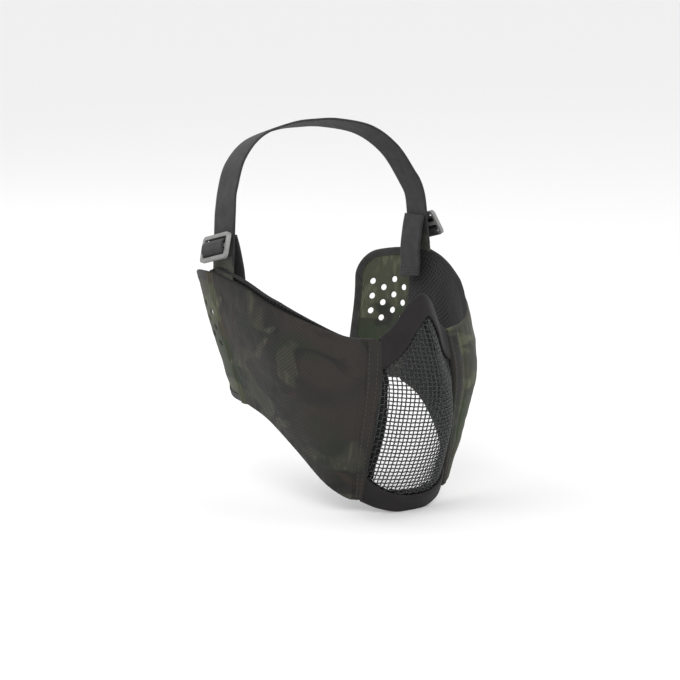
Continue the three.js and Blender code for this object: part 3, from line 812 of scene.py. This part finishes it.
def spacer_mesh():
    """Warp-knitted spacer: rows of round holes on a staggered pitch, each rimmed by thread; the holes are
    painted near black as the shade inside them.
    """
    cloth_look = {"Sheen_Weight": 0.05, "Specular_IOR_Level": 0.25}
    material, shader = plain("spacer_mesh", (0.012, 0.012, 0.012), 0.9, **cloth_look)
    cell_width, cell_length = 2.6 * mm, 2.6 * 1.5 * mm
    rows = []
    for shift in (0.0, 0.5):
        place = texture_place(
            material, "UV", scale=(1 / cell_width, 1 / cell_length, 1), move=(shift, shift, 0)
        )
        wrap = add_node(material, "ShaderNodeVectorMath", operation="FRACTION")
        link(material, place, wrap.inputs[0])
        centred = add_node(material, "ShaderNodeVectorMath", operation="SUBTRACT")
        link(material, wrap.outputs[0], centred.inputs[0])
        centred.inputs[1].default_value = (0.5, 0.5, 0)
        spread = add_node(material, "ShaderNodeVectorMath", operation="MULTIPLY")
        link(material, centred.outputs[0], spread.inputs[0])
        spread.inputs[1].default_value = (1, 1.35, 0)
        away = add_node(material, "ShaderNodeVectorMath", operation="LENGTH")
        link(material, spread.outputs[0], away.inputs[0])
        rows.append(away.outputs["Value"])
    nearest = add_node(material, "ShaderNodeMath", operation="MINIMUM")
    link(material, rows[0], nearest.inputs[0])
    link(material, rows[1], nearest.inputs[1])
    hole = ramp(material, nearest.outputs[0], (0.2, 0.0), (0.33, 1.0))
    # painted shade: the holes near black, rising to the yarn's black at their rims
    hole_shade, yarn_black = (0.0025, 0.0025, 0.0026), (0.021, 0.021, 0.022)
    knit = ramp(material, nearest.outputs[0], (0.18, hole_shade), (0.36, yarn_black))
    link(material, knit, shader.inputs["Base Color"])
    yarn = bump(material, None, noise_of(material, 1500, 2), 0.4, 0.15)
    bump(material, shader, hole, 1.0, 0.6, under=yarn)
    return material


spacer = spacer_mesh()
lining_depth, sewn_depth = 7.2, 4.3  # below the shell's face, behind the foam and at the seams
roll_proud, roll_radius = 4.6, 1.5


def lining_place(s, t):
    """From the jaw edge up the inside, full behind the foam, then over the top edge at the rear."""
    back = 0.018 + 0.977 * s
    turn = 0.07
    up = np.clip(t / (1 - turn), 0, 1)
    roll = np.clip((t - 1 + turn) / turn, 0, 1)
    base = wing(back, up)
    _, rise, out = directions(wing, back, up)
    from_edge = np.minimum(up, 1 - up) * wing_height
    from_seam = np.minimum(back, 1 - back) * wing_length
    full = (1 - np.exp(-from_edge / 7)) * (1 - np.exp(-from_seam / 7))
    depth = sewn_depth + (lining_depth - sewn_depth) * full
    # the roll stands highest below the ear and dies out on the cheek and at the rear seam
    proud = roll_proud * np.clip((back - 0.16) / 0.4, 0, 1) ** 1.3
    proud = proud * np.clip((0.995 - back) / 0.06, 0, 1) ** 0.6
    dimple = 0.35 * fractal(base, 12, 9.0) * full
    angle = roll * math.pi * 0.75
    lift = proud * np.exp(-((1 - up) * wing_height / 5) ** 2)
    over = roll_radius + proud * 0.22
    rise_by = lift + over * np.sin(angle) * (roll > 0)
    out_by = -depth + over * (1 - np.cos(angle)) * (roll > 0) + dimple
    return base + out * out_by[:, None] + rise * rise_by[:, None]


for side, sign in sides:
    lining = cloth(f"{side}_wing_lining", 96, 84, lining_place, spacer, sign)
    lining.data.flip_normals()
    thicken(lining, 1.0)
    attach(lining, f"{side}_wing")
    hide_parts(f"{side}_lining")

# ---------------------------------------------------------------------------
# Front hems: a folded strip of the same nylon down each seam, over the screen's
# welded edge, held by two rows of lockstitch.
# ---------------------------------------------------------------------------
hem_print = camouflage("camouflage_hem", leaf=-0.3, lift=0.66, weave_turn=1.2)


hem_width, hem_ahead = 12.4, 2.8  # the strip, and how much of it lies on the screen's side
inner_row, outer_row = 0.36, 0.84  # the two stitch rows, as shares of the strip's width
hem_lift, stitch_sink, hem_turn = 1.9, 0.35, 2.8


def hem_place(s, t):
    """Starts on the screen's side of the seam, rolls up over it and lies flat on the shell."""
    back = (hem_width * s - hem_ahead) / wing_length
    up = -0.004 + 1.008 * t
    base = wing(np.maximum(back, 0.0), np.clip(up, 0, 1))
    along, rise, out = directions(wing, np.maximum(back, 0.004), np.clip(up, 0, 1))
    ahead = np.minimum(back, 0) * wing_length
    beyond = (up - np.clip(up, 0, 1)) * wing_height
    lift = hem_lift
    for row in (outer_row, inner_row):
        lift = lift - stitch_sink * np.exp(-(((s - row) / 0.05) ** 2))
    turned_down = hem_turn * np.clip(1 - s / 0.2, 0, 1) ** 2
    lift = lift - turned_down - 1.2 * np.clip((s - 0.88) / 0.12, 0, 1) ** 2
    lift = lift + 0.12 * fractal(base, 8, 2.0)
    return base + along * ahead[:, None] + out * lift[:, None] + rise * beyond[:, None]


def thread():
    """Twisted bonded-nylon sewing thread."""
    material, shader = plain("thread", (0.030, 0.031, 0.026), 0.6, Sheen_Weight=0.05)
    strand = wave_of(material, "DIAGONAL", 700, 0.0, texture_place(material))
    bump(material, shader, strand.outputs["Fac"], 0.5, 0.08)
    return material


dark_thread = thread()


def stitches(name, line, out, pitch=3.1, radius=0.24):
    """A row of lockstitches along millimetre points, each a short arched run of thread."""
    walked = reach(line)
    runs = []
    for start in np.arange(0.5, walked[-1] - pitch, pitch):
        at = start + np.array([0, 0.2, 0.5, 0.8, 1.0]) * pitch * 0.78
        arch = np.array([-0.35, 0.05, 0.16, 0.05, -0.35])
        runs.append(sampled(at, walked, line) + unit(sampled(at, walked, out)) * arch[:, None])
    return wires(name, runs, radius, dark_thread)


def on_cloth(place, s, t):
    """Points on a placed cloth and the outward directions there."""
    s, t = np.broadcast_arrays(np.asarray(s, float), np.asarray(t, float))
    step = 3e-3
    points = place(s, t)
    ds = place(np.clip(s + step, 0, 1), t) - place(np.clip(s - step, 0, 1), t)
    dt = place(s, np.clip(t + step, 0, 1)) - place(s, np.clip(t - step, 0, 1))
    return points, unit(np.cross(ds, dt))


even = np.linspace(0.01, 0.99, 160)
for side, sign in sides:
    hem = cloth(f"{side}_seam_hem", 14, 110, hem_place, hem_print, sign)
    thicken(hem, 0.9)
    hem = meshed(hem)
    rows = [hem]
    for row, share in (("inner", inner_row), ("outer", outer_row)):
        line, out = on_cloth(hem_place, share, even)
        rows.append(stitches(f"{side}_hem_stitch_{row}", line * (sign, 1, 1), out * (sign, 1, 1)))
    seam_foot, seam_head = (wing(0.0, at) * (sign, 1, 1) for at in (0.0, 1.0))
    seam_line = unit(seam_head - seam_foot)
    across_seam = directions(wing, 0.02, 0.5)[0] * (sign, 1, 1)
    across_seam = unit(across_seam - seam_line * (across_seam @ seam_line))
    for strip in rows:
        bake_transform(strip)
    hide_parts(f"{side}_front_hem")

# ---------------------------------------------------------------------------
# Ear flaps: one ply of the same nylon behind each ear, hung from the wing's rear
# seam and punched with rows of round vent holes.
# ---------------------------------------------------------------------------
flap_length, flap_drop = 48.5, 8.0
flap_turn = np.radians((2, 46))
flap_corner = 16.0
vent_radius, vent_row_pitch, vent_column_pitch, vent_first = 2.1, 11.0, 9.0, 9.0
vent_rows, vent_columns = 3, 4
vent_centre, vent_stagger = 0.6, 0.25  # middle of the rows up the flap; columns go up and down by turns


def flap(back, up):
    """Carries on from the wing's rear seam and curls in behind the ear. back 0 to 1, up 0 to 1."""
    back, up = np.broadcast_arrays(np.asarray(back, float), np.asarray(up, float))
    point = wing(1.0, up).copy()
    steps = 8
    for i in range(steps):
        angle = flap_turn[0] + (flap_turn[1] - flap_turn[0]) * back * (i + 0.5) / steps
        point[..., 0] -= np.sin(angle) * flap_length * back / steps
        point[..., 1] += np.cos(angle) * flap_length * back / steps
    point[..., 2] -= flap_drop * back**2 * up
    return point


flap_height = np.linalg.norm(flap(0.5, 0.0) - flap(0.5, 1.0))


def corner_inset(back):
    into = np.maximum(0, back * flap_length - (flap_length - flap_corner))
    return flap_corner - np.sqrt(np.maximum(0, flap_corner**2 - into**2))


def flap_up(back, t):
    inset = corner_inset(back) / flap_height
    return inset + (1 - 2 * inset) * t


vent_at = []
for column in range(vent_columns):
    for row in range(vent_rows):
        rows_up = row - (vent_rows - 1) / 2 + (vent_stagger if column % 2 else -vent_stagger)
        back = (vent_first + column * vent_column_pitch) / flap_length
        vent_at.append((back, vent_centre + rows_up * vent_row_pitch / flap_height))


def flap_surface(back, up):
    """The flap's own face, a little slack between its hinge and its bound edge."""
    back, up = np.broadcast_arrays(np.asarray(back, float), np.asarray(up, float))
    point = flap(back, up)
    out = directions(flap, back, up)[2]
    shape = np.ravel(point).reshape(-1, 3)
    slack = 0.5 * fractal(shape * (1, 1, 1.3), 22, 5.0).reshape(back.shape)
    return point + out * (slack * np.sin(np.pi * np.clip(back, 0, 1)))[..., None]


flap_start = 1.6 / flap_length  # its front edge lies under the rear seam's ridge


def place_flap(name, material, sign):
    """A flat pattern with round holes, cut first and then wrapped on to the flap's face."""
    made = bmesh.new()
    uv = made.loops.layers.uv.new("UVMap")
    columns, rows = 48, 66
    bmesh.ops.create_grid(made, x_segments=columns, y_segments=rows, size=0.5)
    for vertex in made.verts:
        back = flap_start + (1 - flap_start) * math.sin((vertex.co.x + 0.5) * math.pi / 2)
        vertex.co.x, vertex.co.y = back, float(flap_up(np.array(back), vertex.co.y + 0.5))
    for back, up in vent_at:

        def from_vent(v):
            return (v.co.x - back) * flap_length, (v.co.y - up) * flap_height

        punched = [v for v in made.verts if math.hypot(*from_vent(v)) < vent_radius]
        bmesh.ops.delete(made, geom=punched, context="VERTS")
        rim = [v for v in made.verts if v.is_boundary and math.hypot(*from_vent(v)) < vent_radius * 2]
        for v in rim:
            dx, dy = from_vent(v)
            far = math.hypot(dx, dy)
            v.co.x = back + dx / far * vent_radius / flap_length
            v.co.y = up + dy / far * vent_radius / flap_height
    for face in made.faces:
        for loop in face.loops:
            loop[uv].uv = (loop.vert.co.x * flap_length * mm, loop.vert.co.y * flap_height * mm)
    flat = np.array([v.co for v in made.verts])
    points = flap_surface(flat[:, 0], flat[:, 1]) * (sign, 1, 1)
    for vertex, point in zip(made.verts, points):
        vertex.co = point * mm
    if sign < 0:
        bmesh.ops.reverse_faces(made, faces=made.faces)
    return from_bmesh(name, made, material)


# Painted light: the flaps' copy of the print is paler and greener than the right wing's, and the rear
# seam ridges use it too.
flap_print = camouflage("camouflage_flap", leaf=1.3, lift=1.3, green=0.6, weave_turn=0.6)
for side, sign in sides:
    panel = place_flap(f"{side}_flap_panel", flap_print, sign)
    thicken(panel, 1.1)
    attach(panel, f"{side}_flap")
    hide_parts(f"{side}_ear_flap")

# ---------------------------------------------------------------------------
# Rear seams: flap and shell are felled together; a soft ridge of folded nylon
# covers the join.
# ---------------------------------------------------------------------------
ridge_width, ridge_height = 7.0, 1.7


def seam_place(s, t):
    """A strip half on the shell and half on the flap, raised in the middle."""
    up = -0.012 + 1.030 * t
    across = (s - 0.5) * ridge_width
    ahead = 1 + np.minimum(across, 0) / wing_length
    behind = np.maximum(across, 0) / flap_length
    beyond = (up - np.clip(up, 0, 1)) * flap_height
    up = np.clip(up, 0, 1)
    base = np.where((across < 0)[:, None], wing(np.clip(ahead, 0, 1), up), flap(behind, up))
    base = base + directions(wing, np.clip(ahead, 0, 1), up)[1] * beyond[:, None]
    out = np.where(
        (across < 0)[:, None],
        directions(wing, np.clip(ahead, 0, 1), up)[2],
        directions(flap, behind, up)[2],
    )
    lift = ridge_height * np.exp(-((s - 0.5) / 0.30) ** 2) + 0.1 + 0.25 * fractal(base, 7, 3.0)
    return base + unit(out) * lift[:, None]


for side, sign in sides:
    # the ridge takes the flaps' paler print, painted light
    seam = cloth(f"{side}_rear_seam", 12, 70, seam_place, flap_print, sign)
    thicken(seam, 0.8)
    top, low = flap(0.0, 0.99) * (sign, 1, 1), flap(0.0, 0.01) * (sign, 1, 1)
    line = unit(top - low)
    seam = meshed(seam)
    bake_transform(seam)

# ---------------------------------------------------------------------------
# Flap bindings: grosgrain tape folded over each flap's free edge and sewn through.
# ---------------------------------------------------------------------------


def webbing(name, colour, rib, sheen):
    """Woven narrow fabric: ribs along its length, a weft that crosses them, and a faint sheen."""
    cloth_look = {"Sheen_Weight": sheen, "Sheen_Roughness": 0.5, "Specular_IOR_Level": 0.3}
    material, shader = plain(name, colour, 0.78, **cloth_look)
    wave = math.tau / 20 / mm
    place = texture_place(material, "UV")
    ribs = wave_of(material, "X", wave / rib, 0.4, place)
    weft = wave_of(material, "Y", wave / 0.7, 0.8, place)
    shade = noise_of(material, 140, 3)
    dark, light = (tuple(c * k for c in colour) for k in (0.7, 1.35))
    cloud = ramp(material, shade, (0.3, dark), (0.7, light))
    # painted shade and highlight: the ribs' crowns lighter and the grooves between them darker
    shading = ramp(material, ribs.outputs["Fac"], (0.15, 0.6), (0.85, 1.25))
    link(material, mixed(material, 0.6, cloud, shading, "MULTIPLY"), shader.inputs["Base Color"])
    lengthways = bump(material, None, ribs.outputs["Fac"], 0.6, 0.2)
    bump(material, shader, weft.outputs["Fac"], 0.45, 0.12, under=lengthways)
    return material


tape_web = webbing("binding_tape", (0.030, 0.030, 0.029), rib=0.9, sheen=0.04)
tape_reach, tape_round = 4.2, 1.25
tape_row = 0.72  # its stitches, as a share of its reach on to the flap


def binding_path(share):
    """The flap's free edge: along the bottom from the hinge, round the rear and back along the top."""
    share = np.asarray(share, float)
    first = 0.012  # it starts this share of the flap's length behind the seam
    long = 0.4  # share of the path along the bottom, and again along the top
    on_bottom, on_top = share < long, share > 1 - long

    def far_back(part):
        return first + (1 - first) * np.sin(np.clip(part / long, 0, 1) * math.pi / 2)

    back_low, back_high = far_back(share), far_back(1 - share)
    back = np.where(on_bottom, back_low, np.where(on_top, back_high, 1.0))
    rear = flap_up(1.0, np.clip((share - long) / 0.2, 0, 1))
    low_up = corner_inset(back_low) / flap_height
    high_up = 1 - corner_inset(back_high) / flap_height
    return back, np.where(on_bottom, low_up, np.where(on_top, high_up, rear))


def binding_frames(share):
    """Point, inward direction in the flap's face, and outward direction, along the free edge."""
    step = 2e-3
    here, before, after = (flap(*binding_path(np.clip(share + by, 0, 1))) for by in (0, -step, step))
    along = unit(after - before)
    out = directions(flap, *binding_path(share))[2]
    inward = unit(np.cross(out, along))
    return here, inward, out


def binding_place(s, t):
    """t follows the edge; s goes round the fold, from the outer face over the edge to the inner."""
    here, inward, out = binding_frames(t)
    turn = np.clip((s - 0.35) / 0.3, 0, 1) * math.pi
    flat = np.maximum(0, 0.35 - s) / 0.35 + np.maximum(0, s - 0.65) / 0.35
    into = flat * tape_reach - tape_round * np.sin(turn)
    lift = tape_round * np.cos(turn) - 0.5
    pinch = 0.3 * np.exp(-((flat - tape_row) / 0.18) ** 2) * np.sign(np.cos(turn))
    return here + inward * into[:, None] + out * (lift - pinch)[:, None]


for side, sign in sides:
    binding = cloth(f"{side}_flap_tape", 16, 150, binding_place, tape_web, sign)
    thicken(binding, 0.55)
    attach(binding, f"{side}_flap")
    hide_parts(f"{side}_flap_binding")
    here, inward, out = binding_frames(np.linspace(0.01, 0.99, 260))
    line = here + inward * tape_reach * tape_row + out * 0.45
    tape_stitch = stitches(f"{side}_tape_stitch", line * (sign, 1, 1), out * (sign, 1, 1))
    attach(tape_stitch, f"{side}_flap")

# ---------------------------------------------------------------------------
# Strap: 25 mm elastic webbing over the crown. Each end is sewn into the wing's
# top edge and runs flat behind its slider.
# ---------------------------------------------------------------------------
strap_width, strap_thickness = 25.0, 1.5
strap_from_seam = 1.5  # strap edge to the rear seam, along the wing's top edge
strap_twist = 46.0  # rise over which it turns from the wing's face to the head's
strap_straight = 44.0  # wing top edge to where it starts to follow the head
strap_bend = 4  # it bends from the wing's face to its own lean from this far under the edge
shell_thickness, pocket_clearance, strap_tuck = 1.0, 1.4, 12.0
travel = next(j for j in frame["joints"] if j["name"] == "left_slider_travel")
strap_up = np.array(travel["axis"], float)


def last_share(surface_line, distance):
    """The share of a line that lies this far from its start."""
    shares = np.linspace(0, 1, 300)
    return np.interp(distance, reach(surface_line(shares)), shares)


anchor_back = 1 - last_share(lambda x: wing(1 - x, 1.0), strap_width / 2 + strap_from_seam)
anchor_out = directions(wing, anchor_back, 1.0)[2]
pocket = strap_thickness + pocket_clearance
anchor_top = wing(anchor_back, 1.0) - anchor_out * (shell_thickness + pocket / 2)
tuck_share = 1 - last_share(lambda x: wing(anchor_back, 1 - x), strap_tuck)
wing_up = unit(wing(anchor_back, 1.0) - wing(anchor_back, tuck_share))
strap_out = unit(anchor_out - strap_up * (anchor_out @ strap_up))
straight_end = anchor_top + strap_up * strap_straight
strap_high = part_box("crown_strap")[1] / mm
crown_top = np.array([0, strap_high.y - strap_width / 2, strap_high.z - strap_thickness / 2])


def over(in_share, back_share, rise_share):
    """A point between the straight end and the crown, in shares of the way in, back and up."""
    return np.array(
        [
            straight_end[0] * (1 - in_share),
            straight_end[1] + (crown_top[1] - straight_end[1]) * back_share,
            straight_end[2] + (crown_top[2] - straight_end[2]) * rise_share,
        ]
    )


half_strap = [
    anchor_top - wing_up * strap_tuck,
    anchor_top - wing_up * strap_bend,
    anchor_top + strap_up * 1.5 * strap_bend,
    anchor_top + strap_up * strap_straight / 2,
    straight_end,
    over(0.06, 0.24, 0.26),
    over(0.19, 0.57, 0.6),
    over(0.42, 0.84, 0.86),
    over(0.75, 0.98, 0.98),
    crown_top,
]
whole_strap = np.array(half_strap + [p * (-1, 1, 1) for p in half_strap[-2::-1]])
head_ahead, head_below, back_roundness = 2, 20, 1.5
head_centre = np.array([0, anchor_top[1] - head_ahead, anchor_top[2] - head_below])


def heading(path, share):
    """Unit direction along a spline."""
    step = 2e-3
    return unit(spline(path, np.clip(share + step, 0, 1)) - spline(path, np.clip(share - step, 0, 1)))


def strap_frames(share):
    """Point, width direction and outward direction along the strap, which lies on the head."""
    point = spline(whole_strap, share)
    along = heading(whole_strap, share)
    away = (point - head_centre) * (1, back_roundness, 1)
    flat = np.clip((straight_end[2] + strap_twist - point[:, 2]) / strap_twist, 0, 1)[:, None]
    flat = flat**2 * (3 - 2 * flat)
    away = unit(away) * (1 - flat) + strap_out * flat
    across = unit(np.cross(away, along))
    return point, across, unit(np.cross(along, across))


def ribbon_place(frames, width, thickness):
    """A flat band with rounded selvedges: s goes round its section, t along it."""

    def place(s, t):
        point, across, out = frames(t)
        round_share = 0.06
        half = width / 2 - thickness / 2
        # four stretches: outer face, edge, inner face, edge
        q = np.mod(s, 1.0) * 2
        top = q < 1
        local = np.where(top, q, q - 1)
        face = np.clip((local - round_share) / (1 - 2 * round_share), 0, 1)
        bend = np.where(
            local < round_share,
            (local / round_share - 1) * math.pi / 2,
            np.where(local > 1 - round_share, (local - 1 + round_share) / round_share * math.pi / 2, 0),
        )
        x = (face * 2 - 1) * half + np.sin(bend) * thickness / 2
        y = np.cos(bend) * thickness / 2
        crown = 0.12 * (1 - (2 * face - 1) ** 2)  # fuller in the middle than at the selvedges
        x, y = np.where(top, x, -x), np.where(top, y + crown, -y)
        return point + across * x[:, None] + out * y[:, None]

    return place


def band(name, frames, width, thickness, material, sign, columns=44, rows=120):
    """A closed webbing band: the section's ends are joined and its two cut ends capped."""
    made = cloth(name, columns, rows, ribbon_place(frames, width, thickness), material, sign, closed=True)
    shape = bmesh.new()
    shape.from_mesh(made.data)
    rims = [e for e in shape.edges if e.is_boundary]
    bmesh.ops.holes_fill(shape, edges=rims, sides=0)
    bmesh.ops.recalc_face_normals(shape, faces=shape.faces)
    shape.to_mesh(made.data)
    shape.free()
    return made


elastic = webbing("elastic_webbing", (0.0235, 0.0235, 0.024), rib=1.25, sheen=0.05)
olive_web = webbing("anchor_webbing", (0.047, 0.047, 0.038), rib=1.0, sheen=0.05)
strap_start, strap_end = 0.124, 0.5  # of the whole strap's path, for one half
anchor_start, anchor_length = 0.004, 0.142
blend_rise = 30  # a rise this far over the wing's top edge
for side, sign in sides:
    strap = band(
        f"{side}_half_strap",
        lambda t: strap_frames(strap_start + (strap_end - strap_start) * t),
        strap_width,
        strap_thickness,
        elastic,
        sign,
        rows=150,
    )
    low = anchor_top + strap_up * blend_rise
    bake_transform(strap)
    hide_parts("crown_strap")

    anchor = band(
        f"{side}_strap_anchor",
        lambda t: strap_frames(anchor_start + anchor_length * t),
        strap_width - 0.6,
        strap_thickness + 0.2,
        olive_web,
        sign,
        rows=50,
    )
    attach(anchor, f"{side}_wing")
    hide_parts("crown_strap")

# ---------------------------------------------------------------------------
# Strap tails: the strap's inner leg, behind the slider and down inside the wing,
# where two rows of stitches hold it against the lining.
# ---------------------------------------------------------------------------
slider_rise, tail_above_slider, tail_end, tail_sag = 20.0, 9, 15, 3
gap = 0.3
behind_strap = strap_thickness + gap
lining_clear = 8.2  # from the strap's middle, inwards, to the lining's face
tail_path = np.array(
    [
        anchor_top + strap_up * (slider_rise + tail_above_slider) - anchor_out * behind_strap,
        anchor_top + strap_up * slider_rise - anchor_out * (behind_strap + tail_sag),
        anchor_top + strap_up * slider_rise / 4 - anchor_out * (lining_clear + 0.4),
        anchor_top - wing_up * tail_end * 0.4 - anchor_out * (lining_clear + 0.8),
        anchor_top - wing_up * tail_end - anchor_out * (lining_clear + 1.4),
    ]
)


def tail_frames(share):
    """Point, width direction and outward direction along the inner leg."""
    along = heading(tail_path, share)
    across = unit(np.cross(anchor_out, along))
    return spline(tail_path, share), across, unit(np.cross(along, across))


for side, sign in sides:
    tail_width = strap_width - 1
    tail = band(f"{side}_inner_leg", tail_frames, tail_width, strap_thickness, elastic, sign, rows=70)
    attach(tail, f"{side}_wing")
    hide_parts(f"{side}_strap_tail")
    for row, share in (("upper", 0.80), ("lower", 0.93)):
        point, across, out = tail_frames(np.full(60, share))
        line = point + across * np.linspace(-10.5, 10.5, 60)[:, None]
        line = line - out * (strap_thickness / 2 + 0.12)
        leg_stitch = stitches(f"{side}_leg_stitch_{row}", line * (sign, 1, 1), -out * (sign, 1, 1))
        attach(leg_stitch, f"{side}_wing")

# ---------------------------------------------------------------------------
# Sliders: a moulded three-bar frame on each side, and the turn of webbing that
# comes up through one slot, over the middle bar and down through the other.
# ---------------------------------------------------------------------------


def moulded_plastic():
    """Grey acetal, fine-textured by the mould, a little paler where the bars' edges rub."""
    material, shader = plain("slider_acetal", (0.16, 0.16, 0.158), 0.46)
    cloud = noise_of(material, 300, 3)
    pointy = add_node(material, "ShaderNodeNewGeometry")
    worn = ramp(material, pointy.outputs["Pointiness"], (0.5, 0.0), (0.62, 1.0))
    grey = ramp(material, cloud, (0.3, (0.135, 0.135, 0.133)), (0.7, (0.18, 0.18, 0.176)))
    link(material, mixed(material, worn, grey, (0.25, 0.25, 0.246, 1)), shader.inputs["Base Color"])
    grain = noise_of(material, 4200, 2)
    link(material, ramp(material, grain, (0.3, 0.38), (0.7, 0.55)), shader.inputs["Roughness"])
    bump(material, shader, grain, 0.3, 0.04)
    return material


acetal = moulded_plastic()


def softened(name, node, edge, material):
    """A copy of one of the frame's hard parts with its sharp edges rounded by this much."""
    made = bmesh.new()
    made.from_mesh(frame["nodes"][node].data)
    bmesh.ops.remove_doubles(made, verts=made.verts, dist=0.005 * mm)
    bmesh.ops.dissolve_limit(made, angle_limit=math.radians(2), verts=made.verts, edges=made.edges)
    sharp = [e for e in made.edges if e.calc_face_angle(0) > math.radians(50)]
    bmesh.ops.bevel(
        made,
        geom=sharp,
        offset=edge * mm,
        segments=3,
        profile=0.5,
        affect="EDGES",
        material=-1,
        clamp_overlap=True,
    )
    thing = from_bmesh(name, made, material)
    thing.data.set_sharp_from_angle(angle=math.radians(40))
    return thing


slider_thickness, slider_bar, slider_height = 2.4, 2.6, 18.0
# turned on the strap, top backwards, and leaning: its foot stands off more than its top
slider_tilt, slider_lean = math.radians(-12), math.radians(16)
strap_back = np.cross(strap_out, strap_up)
slider_flat = strap_up * math.cos(slider_tilt) + strap_back * math.sin(slider_tilt)
slider_across = np.cross(slider_flat, strap_out)
slider_up = slider_flat * math.cos(slider_lean) - strap_out * math.sin(slider_lean)
slider_out = np.cross(slider_across, slider_up)
slider_back = strap_thickness * 1.5 + 3 * gap + slider_height / 2 * math.sin(slider_lean)
slider_at = anchor_top + strap_up * slider_rise + strap_out * slider_back
slot_height = (slider_height - 3 * slider_bar) / 2
slot_rise = (slot_height + slider_bar) / 2
turn_under = -gap - strap_thickness / 2
turn_reach = slider_bar / 2 + strap_thickness
turn_peak = slider_thickness + strap_thickness
slot_end = slot_rise + slot_height / 2
half_turn = [
    (turn_reach * 0.75, turn_peak * 0.97),
    (slot_end - strap_thickness * 1.6, turn_peak * 0.6),
    (slot_end - strap_thickness, slider_thickness * 0.1),
    (slot_end - strap_thickness * 0.4, turn_under),
    (slot_end + slider_bar * 0.6, turn_under),
]
turn_line = np.array(
    [slider_at + slider_up * -y + slider_out * z for y, z in reversed(half_turn)]
    + [slider_at + slider_out * turn_peak]
    + [slider_at + slider_up * y + slider_out * z for y, z in half_turn]
)


def turn_frames(share):
    along = heading(turn_line, share)
    across = np.broadcast_to(slider_across, along.shape)
    return spline(turn_line, share), across, unit(np.cross(along, across))


for side, sign in sides:
    slider = softened(f"{side}_three_bar_slider", f"{side}_slider", 0.75, acetal)
    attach(slider, f"{side}_slider")
    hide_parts(f"{side}_slider")
    turn_width = strap_width + 0.6
    turn = band(f"{side}_webbing_turn", turn_frames, turn_width, strap_thickness, elastic, sign, rows=60)
    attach(turn, f"{side}_slider")
    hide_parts(f"{side}_slider_turn")

# ---------------------------------------------------------------------------
# Pads: soft foam blocks glued behind the nose and chin trims, where the mask
# rests on the face.
# ---------------------------------------------------------------------------
pad_depth, pad_half = 7.4, 1.9


def front_pad_place(low_across, high_across, from_edge, low_mm, high_mm, half):
    """One face of a pad behind a trim; from_edge turns a distance in from the edge into a share."""

    def place(s, t):
        across = low_across + (high_across - low_across) * s
        snapped = snap(across)
        up = from_edge(snapped, low_mm + (high_mm(snapped) - low_mm) * t)
        out = front_directions(across, up)[2]
        edge = np.minimum.reduce([s * 3, (1 - s) * 3, t, 1 - t])
        return front(across, up) + out * (half * domed(edge / 0.3) - pad_depth)[:, None]

    return place


for name, nodes, low, high, from_edge, depth_mm in (
    ("chin_foam_pad", ["chin_pad"], -0.55, 0.55, above_chin, lambda a: chin_band(a) - 2),
    ("left_nose_foam_pad", ["left_nose_pad"], 0.35, 0.75, below_nose, lambda a: nose_band(a) - 2),
    ("right_nose_foam_pad", ["right_nose_pad"], -0.75, -0.35, below_nose, lambda a: nose_band(a) - 2),
):
    faces = [front_pad_place(low, high, from_edge, 2.0, depth_mm, half) for half in (pad_half, -pad_half)]
    if from_edge is below_nose:
        faces.reverse()
    block = pad(name, 40, 16, *faces, foam, 1)
    soften = block.modifiers.new("soft", "SUBSURF")
    soften.levels = soften.render_levels = 1
    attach(block, "front")
    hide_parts(*nodes)

# ---------------------------------------------------------------------------
# Seam tapes: a strip of thin neoprene inside the screen along each seam, over
# the wires' cut ends.
# ---------------------------------------------------------------------------
tape_width, tape_lift, half_face = 5.0, 4.0, 46  # half_face: ridge to seam along the face


def inside_tape_place(s, t):
    """From the chin backing to the nose backing, raised a little over both."""
    low = above_chin(np.full(1, 0.95), chin_band_side - 3)[0]
    high = below_nose(np.full(1, 0.95), nose_band_side - 3)[0]
    up = low + (high - low) * t
    across = 0.992 - s * tape_width / half_face
    out = front_directions(across, up)[2]
    over_trim = 1.5 * np.clip(1 - np.minimum(t, 1 - t) / 0.06, 0, 1) ** 0.5
    rough = 0.15 * fractal(front(across, up), 6, 1.0)
    lift = tape_lift + over_trim + 0.8 * (np.abs(2 * s - 1)) ** 4 + rough
    return front(across, up) - out * lift[:, None]


for side, sign in sides:
    strip = cloth(f"{side}_inner_seam_tape", 8, 80, inside_tape_place, trim_rubber, sign)
    thicken(strip, 1.0)
    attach(strip, "front")
    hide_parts(f"{side}_seam_tape")
